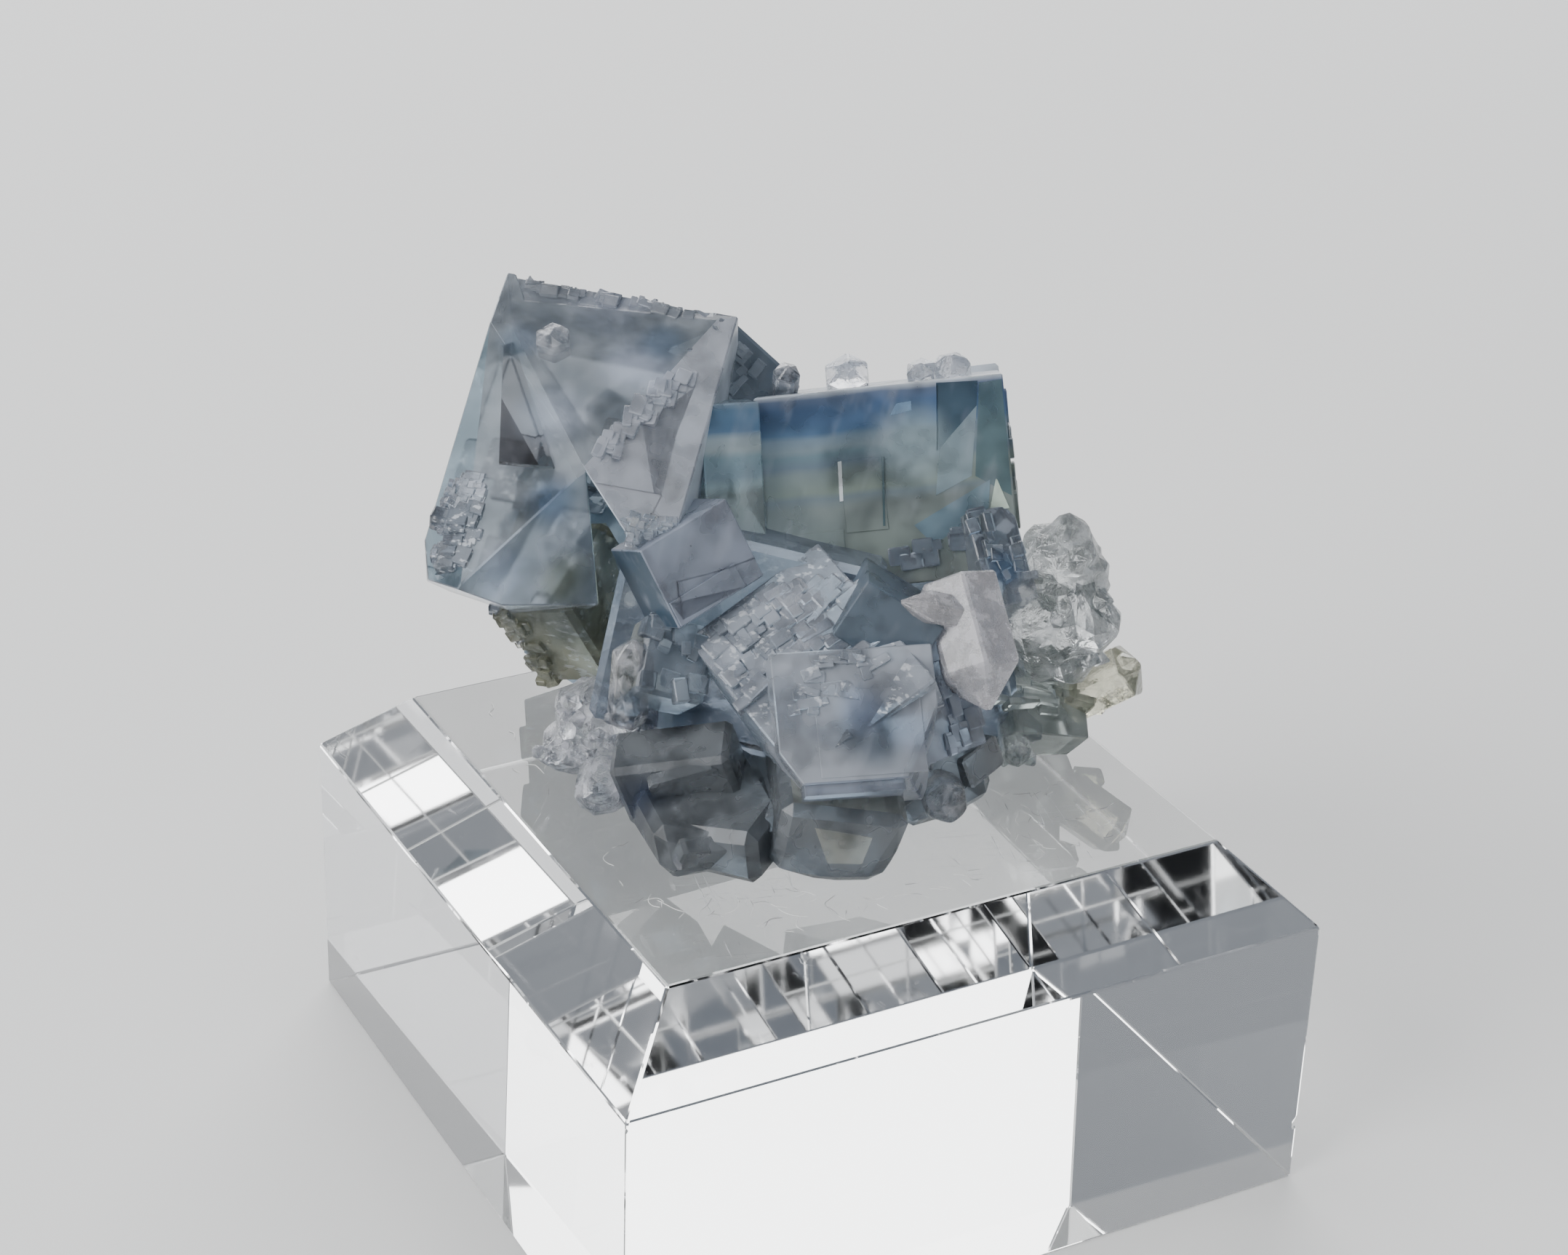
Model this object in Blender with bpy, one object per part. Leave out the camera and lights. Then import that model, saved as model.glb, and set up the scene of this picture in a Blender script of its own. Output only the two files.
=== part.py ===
"""Quartz on fluorite: a cluster of intergrown fluorite cubes with small quartz crystals on it,
standing on a bevelled block of clear acrylic.

Sizes are in millimetres and turned into metres as each mesh is made. The origin is the middle of the
block's underside, +Z is up, the photo looks from about azimuth -29 degrees, 27 degrees above level.
"""
import math

import bmesh
import bpy
from mathutils import Euler, Matrix, Vector

MM = 0.001

# The display block
BLOCK_WIDTH = 50.8
BLOCK_HEIGHT = 25.4
BLOCK_BEVEL = 5.2

# Every pair of touching solids keeps this much air between them
GAP = 0.3
SEAT = BLOCK_HEIGHT + GAP

# The largest fluorite crystal: one turned box, whose faces are cleaved by the planes named below.
# Each cleavage is the way it faces, as azimuth and elevation in degrees, and its distance from the
# crystal's centre. Azimuth 0 faces -Y, azimuth 90 faces +X.
BIG_CENTRE = (-13.6, 8.1, 43.1)
BIG_SIZE = (15.8, 13.0, 28.6)
BIG_TURN = (-62, 5, -39)
FLAP = (-11, 53, 6.6)
TOP_BAND = (-27, 72, 8.7)
LEFT_SLOPE = (-45, 56, 6.4)
LEFT_SLIVER = (-76, 47, 7.8)
UNDER_FLAP = (-100, -30, -2.6)
FLAP_RIM = (8, -31, 6.1)
LOWER_FACE = (11, 0, 3.7)
NOTCH = (80, 5.7, 0.5)
UNDERSIDE = (-18, -59, 5.7)
UNDERSIDE_LEFT = (-60, -56, 6.9)
LEFT_END = (-110, -2, 9.7)

# Each fluorite crystal: centre, size across, into and up its own face, turn about X, Y and Z in
# degrees, and its cleavages
FLUORITE = {
    "big_upper": (BIG_CENTRE, BIG_SIZE, BIG_TURN,
                  (FLAP, TOP_BAND, LEFT_SLOPE, LEFT_SLIVER, UNDER_FLAP, FLAP_RIM)),
    "big_lower": (BIG_CENTRE, BIG_SIZE, BIG_TURN,
                  (LEFT_SLOPE, LEFT_SLIVER, LOWER_FACE, NOTCH, UNDERSIDE, UNDERSIDE_LEFT, LEFT_END)),
    "banded": ((9.0, 5.6, 42.7), (16.5, 13.4, 13.2), (-22, -8, -28), ()),
    "banded_column": ((-2.9, 7.4, 43.6), (3.9, 9.1, 11.8), (-21, 0, -15), ()),
    "shoulder": ((0.3, 13.1, 48.4), (5.6, 6.0, 6.0), (-32, 41, -35), ()),
    "shoulder_small": ((2.7, 11.9, 47.8), (2.6, 5.0, 2.6), (-28, 32, -28), ()),
    "slate_plate": ((-9.0, 0.2, 42.6), (6.9, 4.7, 5.7), (-24, -17, 8), ()),
    "frosted": ((-1.9, -6.0, 34.5), (13.1, 10.0, 10.6), (-58, 21, -80), ()),
    "frosted_plate": ((-2.6, -10.6, 34.4), (10.4, 7.0, 8.6), (-43, -1, -19), ((42, -8, 5.2), (-92, -30, 5.0))),
    "blade": ((1.5, -7.7, 40.0), (5.8, 6.0, 4.2), (-13, 30, -35), ()),
    "wedge": ((2.6, -9.3, 34.8), (5.0, 7.0, 8.0), (-27, -3, 7), ()),
    "blue_small": ((-10.7, 0.7, 35.0), (4.6, 8.0, 5.2), (-38, 18, -19), ()),
    "right_slope": ((11.5, -2.6, 38.9), (3.4, 9.0, 6.6), (-40, -2, -6), ()),
    "olive": ((-12.1, 10.6, 35.6), (5.6, 8.0, 7.6), (25, -15, -54), ()),
    "foot_left": ((-10.7, -3.5, 28.5), (8.0, 3.8, 7.7), (19, -14, -37), ()),
    "foot_left_low": ((-7.4, -6.0, 27.0), (6.6, 13.0, 4.2), (2, -7, -50), ()),
    "foot_corner": ((-10.4, -6.2, 27.2), (8.5, 8.6, 4.2), (8, -6, -8), ((-43, 15, 4.7),)),
    "foot_front": ((-3.1, -9.6, 28.6), (8.2, 11.2, 5.6), (4, 8, -23), ()),
    "foot_right": ((4.7, -6.7, 28.1), (7.2, 8.0, 6.2), (-5, -15, 4), ()),
    "foot_bar": ((14.9, -4.1, 26.0), (5.6, 9.0, 2.6), (-49, 13, -11), ()),
    "right_low": ((15.0, -1.4, 31.0), (7.6, 7.0, 6.0), (-30, 10, -22), ()),
    # What the crystals above grow from, seen in the photo only through the gaps between them
    "root_middle": ((-2.5, 4.5, 35.0), (17.0, 15.0, 14.0), (-14, 10, -34), ()),
    "root_right": ((8.5, 1.5, 32.0), (13.0, 12.0, 12.5), (8, -12, -20), ()),
    # The hidden back, finished as more cubes of the same habit
    "back_left": ((-5.6, 15.4, 33.5), (10.0, 10.5, 13.5), (12, -9, 24), ()),
    "back_middle": ((3.0, 14.0, 36.5), (11.5, 10.0, 13.0), (-16, 14, 38), ()),
    "back_right": ((12.0, 9.0, 32.5), (11.0, 10.5, 12.0), (21, 8, -62), ()),
    "back_small": ((-2.0, 18.0, 30.0), (7.5, 7.0, 8.0), (33, 18, 12), ()),
}

# Each quartz piece: its crystals as root point, tip point, width across the corners, spin about its own
# axis in degrees, and the length of its pointed end
QUARTZ = {
    "quartz_crest": (((7.6, 9.3, 47.9), (6.2, 7.2, 51.5), 3.3, 10, 1.2),),
    "quartz_crest_pair": (((13.4, 5.0, 48.6), (12.5, 4.2, 52.0), 2.7, 0, 0.9),
                          ((11.6, 5.6, 48.4), (10.6, 4.9, 51.4), 2.2, 20, 0.4)),
    "quartz_hexagon": (((-12.1, 14.0, 52.5), (-12.6, 13.3, 54.3), 2.5, 12, 0.35),),
    "quartz_shoulder": (((2.6, 9.2, 48.6), (2.1, 7.8, 51.6), 1.9, 15, 0.7),),
    "quartz_milky": (((6.0, -9.0, 41.6), (5.3, -14.9, 35.5), 5.6, 12, 2.6),
                     ((6.1, -11.3, 40.7), (0.3, -10.5, 42.8), 2.4, 10, 2.2)),
    "quartz_cluster_right": (((15.3, -5.0, 34.1), (15.8, -7.0, 44.6), 5.2, 10, 2.8),
                             ((14.4, -6.8, 36.8), (18.5, -10.1, 37.7), 5.4, 25, 1.4),
                             ((14.9, -6.5, 33.2), (12.0, -7.7, 41.0), 4.2, 5, 1.6),
                             ((14.4, -4.6, 33.4), (17.5, -8.7, 34.6), 4.6, 0, 1.4)),
    "quartz_amber_tip": (((18.2, -5.4, 29.6), (21.7, -8.0, 32.4), 4.2, 5, 1.1),
                         ((19.3, -4.9, 28.7), (20.9, -6.2, 28.5), 2.1, 0, 0.6)),
    "quartz_point_left": (((-13.1, 0.4, 32.1), (-13.6, -1.6, 39.2), 2.8, 5, 1.5),),
    "quartz_druse_left": (((-10.6, 7.0, 24.4), (-14.2, 5.0, 32.4), 5.6, 20, 1.6),
                          ((-11.4, 6.3, 27.0), (-17.7, 5.5, 27.9), 4.4, 5, 1.8),
                          ((-11.9, 3.5, 29.0), (-16.6, -1.4, 25.6), 4.2, 10, 1.4),
                          ((-11.5, 5.2, 28.5), (-12.6, -0.2, 32.4), 3.6, 0, 1.0)),
    "quartz_bead": (((4.4, -10.4, 28.0), (2.9, -14.6, 29.0), 3.3, 10, 1.1),),
    "quartz_sprigs_right": (((13.3, -5.0, 28.6), (11.7, -9.0, 26.9), 2.4, 0, 1.0),
                            ((13.0, -4.6, 28.6), (13.9, -8.2, 28.2), 2.0, 10, 0.8)),
}

# A quartz piece that leans on another one, and makes room for it
QUARTZ_NEIGHBOUR = {"quartz_point_left": "quartz_druse_left", "quartz_amber_tip": "quartz_cluster_right"}

# Colour, roughness, see-through share and bending of light of each finish
FINISHES = {
    "acrylic": ((0.95, 0.96, 0.97), 0.03, 1.0, 1.49),
    "fluorite": ((0.32, 0.42, 0.55), 0.12, 0.85, 1.434),
    "quartz_clear": ((0.80, 0.81, 0.83), 0.10, 0.80, 1.544),
    "quartz_milky": ((0.80, 0.76, 0.72), 0.35, 0.35, 1.544),
    "quartz_amber": ((0.68, 0.64, 0.48), 0.12, 0.75, 1.544),
}
QUARTZ_FINISH = {"quartz_milky": "quartz_milky", "quartz_amber_tip": "quartz_amber"}


def clear_scene():
    for old in list(bpy.data.objects):
        bpy.data.objects.remove(old, do_unlink=True)


def make_finish(name):
    colour, roughness, clearness, bending = FINISHES[name]
    finish = bpy.data.materials.new(name)
    finish.use_nodes = True
    shader = finish.node_tree.nodes["Principled BSDF"]
    shader.inputs["Base Color"].default_value = (*colour, 1.0)
    shader.inputs["Roughness"].default_value = roughness
    shader.inputs["Metallic"].default_value = 0.0
    shader.inputs["Transmission Weight"].default_value = clearness
    shader.inputs["IOR"].default_value = bending
    return finish


def new_object(name, bm):
    """A new object from a mesh in millimetres, made metres here."""
    bmesh.ops.recalc_face_normals(bm, faces=bm.faces)
    bmesh.ops.scale(bm, vec=(MM, MM, MM), verts=bm.verts)
    mesh = bpy.data.meshes.new(name)
    bm.to_mesh(mesh)
    bm.free()
    made = bpy.data.objects.new(name, mesh)
    bpy.context.scene.collection.objects.link(made)
    return made


def facing(azimuth, elevation):
    """The unit vector that a face with this azimuth and elevation looks along."""
    a = math.radians(azimuth)
    e = math.radians(elevation)
    return Vector((math.sin(a) * math.cos(e), -math.cos(a) * math.cos(e), math.sin(e)))


def cleave(bm, point, normal):
    """Cut away what is past a plane, and close the cut with a flat face."""
    geometry = bm.verts[:] + bm.edges[:] + bm.faces[:]
    bmesh.ops.bisect_plane(bm, geom=geometry, plane_co=point, plane_no=normal, clear_outer=True, dist=0.0001)
    rim = [edge for edge in bm.edges if edge.is_boundary]
    if rim:
        bmesh.ops.holes_fill(bm, edges=rim, sides=0)


def fluorite_crystal(name, spec, grow):
    """One box-shaped crystal with its cleavages, grown outward by a margin, cut off level at the seat."""
    centre, size, turn, cleavages = spec
    bm = bmesh.new()
    bmesh.ops.create_cube(bm, size=1.0)
    stretch = Matrix.Diagonal(Vector([side + 2 * grow for side in size]))
    turned = Euler([math.radians(angle) for angle in turn]).to_matrix()
    bmesh.ops.transform(bm, matrix=(turned @ stretch).to_4x4(), verts=bm.verts)
    bmesh.ops.translate(bm, vec=centre, verts=bm.verts)
    for azimuth, elevation, distance in cleavages:
        normal = facing(azimuth, elevation)
        cleave(bm, Vector(centre) + normal * (distance + grow), normal)
    cleave(bm, Vector((0, 0, SEAT - grow)), Vector((0, 0, -1)))
    return new_object(name, bm)


def skin_rings(bm, rings):
    """Close the first ring of points with a face, and join each ring to the next with side faces."""
    bm.faces.new(rings[0])
    for lower, upper in zip(rings, rings[1:]):
        for corner in range(len(lower)):
            after = (corner + 1) % len(lower)
            bm.faces.new((lower[corner], lower[after], upper[after], upper[corner]))


def quartz_crystal(name, spec, grow):
    """One six-sided crystal with a pyramid on its free end, cut off level at the seat."""
    root, tip, width, spin, point_length = spec
    axis = (Vector(tip) - Vector(root)).normalized()
    root = Vector(root) - axis * grow
    tip = Vector(tip) + axis * grow
    side = axis.orthogonal().normalized()
    up = axis.cross(side)
    bm = bmesh.new()
    rings = []
    for middle in (root, tip - axis * point_length):
        ring = []
        for corner in range(6):
            angle = math.radians(spin + 60 * corner)
            spoke = side * math.cos(angle) + up * math.sin(angle)
            ring.append(bm.verts.new(middle + spoke * (width / 2 + grow)))
        rings.append(ring)
    skin_rings(bm, rings)
    apex = bm.verts.new(tip)
    for corner in range(6):
        bm.faces.new((rings[1][corner], rings[1][(corner + 1) % 6], apex))
    cleave(bm, Vector((0, 0, SEAT - grow)), Vector((0, 0, -1)))
    return new_object(name, bm)


def combine(target, tool, operation):
    """Apply one exact Boolean to the target, and leave the other solid as it is."""
    step = target.modifiers.new("combine", "BOOLEAN")
    step.operation = operation
    step.solver = "EXACT"
    step.object = tool
    shaped = target.evaluated_get(bpy.context.evaluated_depsgraph_get())
    mesh = bpy.data.meshes.new_from_object(shaped)
    target.modifiers.clear()
    target.data = mesh


def grown_together(name, crystals):
    """Join overlapping crystals in one solid."""
    whole = crystals[0]
    whole.name = name
    whole.data.name = name
    for crystal in crystals[1:]:
        combine(whole, crystal, "UNION")
        bpy.data.objects.remove(crystal, do_unlink=True)
    return whole


def keep_largest_body(piece):
    """Drop the slivers that a cut leaves behind in crevices, and merge points that coincide."""
    bm = bmesh.new()
    bm.from_mesh(piece.data)
    bmesh.ops.remove_doubles(bm, verts=bm.verts, dist=0.000002)
    waiting = set(bm.faces)
    bodies = []
    while waiting:
        front = [waiting.pop()]
        body = set(front)
        while front:
            face = front.pop()
            for edge in face.edges:
                for neighbour in edge.link_faces:
                    if neighbour in waiting:
                        waiting.remove(neighbour)
                        body.add(neighbour)
                        front.append(neighbour)
        bodies.append(body)
    bodies.sort(key=lambda body: sum(face.calc_area() for face in body))
    for body in bodies[:-1]:
        bmesh.ops.delete(bm, geom=list(body), context="FACES")
    bm.to_mesh(piece.data)
    bm.free()


def make_block(finish):
    """The acrylic block: straight sides, a flat top and one wide bevel all round it."""
    bm = bmesh.new()
    rings = []
    for height, inset in ((0, 0), (BLOCK_HEIGHT - BLOCK_BEVEL, 0), (BLOCK_HEIGHT, BLOCK_BEVEL)):
        half = BLOCK_WIDTH / 2 - inset
        rings.append([bm.verts.new((x, y, height)) for x, y in
                      ((-half, -half), (half, -half), (half, half), (-half, half))])
    skin_rings(bm, rings)
    bm.faces.new(rings[-1])
    block = new_object("display_block", bm)
    block.data.materials.append(finish)
    return block


def make_fluorite(finish):
    """The intergrown cubes as one solid, and a copy grown by the gap that makes room in the quartz."""
    cluster = grown_together("fluorite_cluster",
                             [fluorite_crystal(name, spec, 0.0) for name, spec in FLUORITE.items()])
    keep_largest_body(cluster)
    cluster.data.materials.clear()
    cluster.data.materials.append(finish)
    clearance = grown_together("fluorite_clearance",
                               [fluorite_crystal(name, spec, GAP) for name, spec in FLUORITE.items()])
    return cluster, clearance


def make_quartz(name, clearance, finish):
    """One quartz piece, cut back to the gap where it sits on the fluorite or on its neighbour."""
    piece = grown_together(name, [quartz_crystal(name, spec, 0.0) for spec in QUARTZ[name]])
    combine(piece, clearance, "DIFFERENCE")
    if name in QUARTZ_NEIGHBOUR:
        for spec in QUARTZ[QUARTZ_NEIGHBOUR[name]]:
            neighbour = quartz_crystal("neighbour", spec, GAP)
            combine(piece, neighbour, "DIFFERENCE")
            bpy.data.objects.remove(neighbour, do_unlink=True)
    keep_largest_body(piece)
    piece.data.materials.clear()
    piece.data.materials.append(finish)
    return piece


def main():
    clear_scene()
    finishes = {name: make_finish(name) for name in FINISHES}
    make_block(finishes["acrylic"])
    cluster, clearance = make_fluorite(finishes["fluorite"])
    for name in QUARTZ:
        make_quartz(name, clearance, finishes[QUARTZ_FINISH.get(name, "quartz_clear")])
    bpy.data.objects.remove(clearance, do_unlink=True)


main()
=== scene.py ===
# %% [markdown]
# # Quartz on fluorite, standing on a clear block
#
# The object is a small mineral specimen: a cluster of blue-grey fluorite cubes that grew into each
# other, with small quartz crystals on it, resting on a bevelled block of clear acrylic. This lesson starts
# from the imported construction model, which fixes every size and place, and builds the looks around it.
#
# Sizes are written in millimetres and multiplied by MM where a mesh is made. A direction is written as
# an azimuth and an elevation in degrees: azimuth 0 faces the front (-Y), azimuth 90 faces the right (+X).

# %% Load the fixed frame
import math
import random

import bpy
from mathutils import Euler, Matrix, Quaternion, Vector
from mathutils.bvhtree import BVHTree


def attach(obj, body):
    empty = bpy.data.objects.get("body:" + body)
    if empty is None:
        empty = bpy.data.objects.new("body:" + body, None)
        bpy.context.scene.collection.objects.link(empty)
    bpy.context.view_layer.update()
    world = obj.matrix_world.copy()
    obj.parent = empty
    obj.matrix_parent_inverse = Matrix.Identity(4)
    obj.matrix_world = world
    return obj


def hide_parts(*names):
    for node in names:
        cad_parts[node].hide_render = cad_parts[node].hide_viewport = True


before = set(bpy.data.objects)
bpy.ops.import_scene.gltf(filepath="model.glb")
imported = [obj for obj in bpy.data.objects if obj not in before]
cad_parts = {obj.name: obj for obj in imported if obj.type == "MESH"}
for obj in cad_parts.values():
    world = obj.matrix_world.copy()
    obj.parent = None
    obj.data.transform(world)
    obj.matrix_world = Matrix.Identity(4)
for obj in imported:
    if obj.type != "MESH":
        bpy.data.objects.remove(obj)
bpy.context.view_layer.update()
MM = 0.001

# %% [markdown]
# ## The camera
#
# The block is a box of known size, so matching its eight visible corners fixes where the camera stood: to
# the left of the block's front corner, looking down at about 27 degrees, and rolled by 2 degrees. The lens
# is given for a 36 mm wide frame.

# %% Camera
CAMERA_PLACE = (-96.6, -172.4, 138.4)
CAMERA_AZIMUTH = -28.8
CAMERA_ELEVATION = 27.4
CAMERA_ROLL = 1.9
CAMERA_LENS = 76.8

camera_data = bpy.data.cameras.new("camera")
camera_data.sensor_width = 36
camera_data.lens = CAMERA_LENS
camera_data.clip_start = 0.01
camera = bpy.data.objects.new("camera", camera_data)
bpy.context.scene.collection.objects.link(camera)
aim = Matrix.Rotation(math.radians(CAMERA_AZIMUTH), 4, "Z")
aim = aim @ Matrix.Rotation(math.radians(90 - CAMERA_ELEVATION), 4, "X")
aim = aim @ Matrix.Rotation(math.radians(CAMERA_ROLL), 4, "Z")
camera.matrix_world = Matrix.Translation(Vector(CAMERA_PLACE) * MM) @ aim
bpy.context.scene.camera = camera

# %% [markdown]
# ## Tools for modelling
#
# Every crystal starts as a primitive and is cut to its faces the way a mineral cleaves: with a flat plane.
# An operator acts on all that is selected, so each helper first selects only its own piece.


# %% Helpers for selecting, cleaving and joining
def select_only(piece):
    bpy.ops.object.select_all(action="DESELECT")
    piece.select_set(True)
    bpy.context.view_layer.objects.active = piece


def facing(azimuth, elevation):
    """The unit vector that a face with this azimuth and elevation looks along."""
    a = math.radians(azimuth)
    e = math.radians(elevation)
    return Vector((math.sin(a) * math.cos(e), -math.cos(a) * math.cos(e), math.sin(e)))


def cleave(piece, point, direction):
    """Cut off what lies past a plane, and close the cut with a flat face."""
    select_only(piece)
    bpy.ops.object.mode_set(mode="EDIT")
    bpy.ops.mesh.select_all(action="SELECT")
    bpy.ops.mesh.bisect(plane_co=point, plane_no=direction, use_fill=True, clear_outer=True)
    bpy.ops.object.mode_set(mode="OBJECT")


def apply_modifier(piece, kind, **settings):
    """Add one modifier with these settings and apply it."""
    select_only(piece)
    modifier = piece.modifiers.new(kind.lower(), kind)
    for name, value in settings.items():
        setattr(modifier, name, value)
    bpy.ops.object.modifier_apply(modifier=modifier.name)


def soften_edges(piece, width, segments=1, material=-1):
    """Bevel every sharp edge by this width in mm. The bevels may have a material slot of their own."""
    apply_modifier(piece, "BEVEL", width=width * MM, segments=segments, limit_method="ANGLE",
                   angle_limit=math.radians(25), material=material)


def settle(piece):
    """Put the piece's place into its mesh, so that its object sits at the origin."""
    select_only(piece)
    bpy.ops.object.transform_apply(location=True, rotation=True, scale=True)


def carry(piece, move):
    """Move the piece's mesh by a matrix whose shifts are in mm."""
    piece.data.transform(Matrix.Scale(MM, 4) @ move @ Matrix.Scale(1 / MM, 4))


def box_crystal(name, centre, size, turn=(0, 0, 0)):
    """A box of this size in mm, turned about its own centre by three angles in degrees."""
    bpy.ops.object.select_all(action="DESELECT")
    bpy.ops.mesh.primitive_cube_add(size=1, location=Vector(centre) * MM, scale=Vector(size) * MM,
                                    rotation=[math.radians(angle) for angle in turn])
    crystal = bpy.context.object
    crystal.name = name
    settle(crystal)
    return crystal


def boolean(piece, tools, operation):
    """Combine a solid with one or more others, which are then removed."""
    group = bpy.data.collections.new("tools")
    bpy.context.scene.collection.children.link(group)
    for tool in tools:
        for home in list(tool.users_collection):
            home.objects.unlink(tool)
        group.objects.link(tool)
    apply_modifier(piece, "BOOLEAN", operation=operation, solver="MANIFOLD", operand_type="COLLECTION",
                   collection=group, material_mode="TRANSFER")
    for tool in tools:
        bpy.data.objects.remove(tool, do_unlink=True)
    bpy.data.collections.remove(group)


def join(pieces, name):
    """Make one object of several."""
    select_only(pieces[0])
    for piece in pieces:
        piece.select_set(True)
    bpy.ops.object.join()
    pieces[0].name = name
    return pieces[0]


def paint(piece, *materials):
    """Give the piece these material slots in place of its own."""
    piece.data.materials.clear()
    for material in materials:
        piece.data.materials.append(material)


def hand_over(piece, node=None):
    """Hang the piece on the frame's root, and hide the construction part that it stands for, if one is
    given.
    """
    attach(piece, "root")
    if node:
        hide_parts(node)


# %% [markdown]
# ## Tools for materials
#
# A material is a small network of nodes. These helpers each add one node and return its output, so a
# finish reads as a short recipe. Patterns follow the Object coordinates, turned into millimetres, so a
# scale of 2 means two spots to the millimetre.

# %% Helpers for materials
def new_material(name):
    material = bpy.data.materials.new(name)
    material.use_nodes = True
    return material, material.node_tree, material.node_tree.nodes["Principled BSDF"]


def plug(tree, socket, value):
    """Feed a socket from another node's output, or set it to a plain value."""
    if isinstance(value, bpy.types.NodeSocket):
        tree.links.new(value, socket)
    else:
        socket.default_value = value


def millimetres(tree, stretch=(1, 1, 1), turn=(0, 0, 0)):
    """Object coordinates in mm, turned and then stretched."""
    turned = tree.nodes.new("ShaderNodeMapping")
    turned.inputs["Rotation"].default_value = [math.radians(angle) for angle in turn]
    tree.links.new(tree.nodes.new("ShaderNodeTexCoord").outputs["Object"], turned.inputs["Vector"])
    scaled = tree.nodes.new("ShaderNodeMapping")
    scaled.inputs["Scale"].default_value = [side / MM for side in stretch]
    tree.links.new(turned.outputs["Vector"], scaled.inputs["Vector"])
    return scaled.outputs["Vector"]


def noise(tree, place, scale, detail, roughness=0.5):
    made = tree.nodes.new("ShaderNodeTexNoise")
    plug(tree, made.inputs["Vector"], place)
    made.inputs["Scale"].default_value = scale
    made.inputs["Detail"].default_value = detail
    made.inputs["Roughness"].default_value = roughness
    return made.outputs["Fac"]


def cells(tree, place, scale, metric="CHEBYCHEV"):
    made = tree.nodes.new("ShaderNodeTexVoronoi")
    made.distance = metric
    plug(tree, made.inputs["Vector"], place)
    made.inputs["Scale"].default_value = scale
    return made.outputs["Distance"]


def maths(tree, operation, *numbers, clamp=False):
    made = tree.nodes.new("ShaderNodeMath")
    made.operation = operation
    made.use_clamp = clamp
    for socket, number in zip(made.inputs, numbers):
        plug(tree, socket, number)
    return made.outputs[0]


def spread(tree, value, low, high, to_low=0.0, to_high=1.0):
    """Map the range low..high onto to_low..to_high, smoothly, and stop at its ends."""
    made = tree.nodes.new("ShaderNodeMapRange")
    made.interpolation_type = "SMOOTHSTEP"
    for socket, number in zip(made.inputs[:5], (value, low, high, to_low, to_high)):
        plug(tree, socket, number)
    return made.outputs[0]


def vector_maths(tree, operation, a, b):
    made = tree.nodes.new("ShaderNodeVectorMath")
    made.operation = operation
    plug(tree, made.inputs[0], a)
    plug(tree, made.inputs[1], b)
    return made.outputs["Value" if operation in ("DOT_PRODUCT", "DISTANCE") else "Vector"]


def mix(tree, share, a, b, kind="MIX"):
    made = tree.nodes.new("ShaderNodeMix")
    made.data_type = "RGBA"
    made.blend_type = kind
    plug(tree, made.inputs["Factor"], share)
    plug(tree, made.inputs[6], a if isinstance(a, bpy.types.NodeSocket) else (*a, 1))
    plug(tree, made.inputs[7], b if isinstance(b, bpy.types.NodeSocket) else (*b, 1))
    return made.outputs[2]


def ramp(tree, value, stops):
    """A colour ramp through (position, colour) stops."""
    made = tree.nodes.new("ShaderNodeValToRGB")
    while len(made.color_ramp.elements) < len(stops):
        made.color_ramp.elements.new(0.5)
    for element, (position, colour) in zip(made.color_ramp.elements, stops):
        element.position = position
        element.color = (*colour, 1)
    plug(tree, made.inputs["Fac"], value)
    return made.outputs["Color"]


def blot(tree, place, centre, radius):
    """A soft round mask about a point in mm, full in its inner quarter."""
    away = vector_maths(tree, "DISTANCE", place, centre)
    return spread(tree, away, radius * 0.25, radius, 1.0, 0.0)


def relief(tree, height, depth, strength, below=None):
    """Bump whose full height is depth mm."""
    made = tree.nodes.new("ShaderNodeBump")
    made.inputs["Distance"].default_value = depth * MM
    made.inputs["Strength"].default_value = strength
    plug(tree, made.inputs["Height"], height)
    if below is not None:
        tree.links.new(below, made.inputs["Normal"])
    return made.outputs["Normal"]


# %% [markdown]
# ## The display block
#
# The block is polished acrylic, 50.8 mm square, with a flat top and one wide bevel round it. In Blender it
# is a cube whose four upper edges are bevelled once, wide, and whose every edge is then rounded a little, so
# that it catches a thin line of light. Its two front edges have small knocks, cut with a rough pebble.

# %% Acrylic block
BLOCK_WIDTH = 50.8
BLOCK_HEIGHT = 25.4
BLOCK_BEVEL = 5.2
BLOCK_EDGE = 0.16
KNOCK_TURN = (20, 30, 15)
KNOCKS = (
    # place, size
    ((25.5, -25.5, 4.6), (1.0, 1.1, 1.7)),
    ((25.5, -25.45, 11.5), (0.5, 0.5, 1.0)),
    ((-25.5, -25.5, 19.6), (0.6, 0.6, 0.8)),
)


def edges_at_height(piece, height):
    """Select the edges whose both ends lie at this height, in mm."""
    for edge in piece.data.edges:
        ends = [piece.data.vertices[i].co.z for i in edge.vertices]
        edge.select = all(abs(z - height * MM) < 0.01 * MM for z in ends)


def pebble(place, size, turn):
    """A coarse rounded stone, used as a cutter for chips."""
    bpy.ops.object.select_all(action="DESELECT")
    bpy.ops.mesh.primitive_ico_sphere_add(subdivisions=1, radius=0.5, location=Vector(place) * MM,
                                          rotation=[math.radians(angle) for angle in turn],
                                          scale=Vector(size) * MM)
    stone = bpy.context.object
    settle(stone)
    return stone


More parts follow.
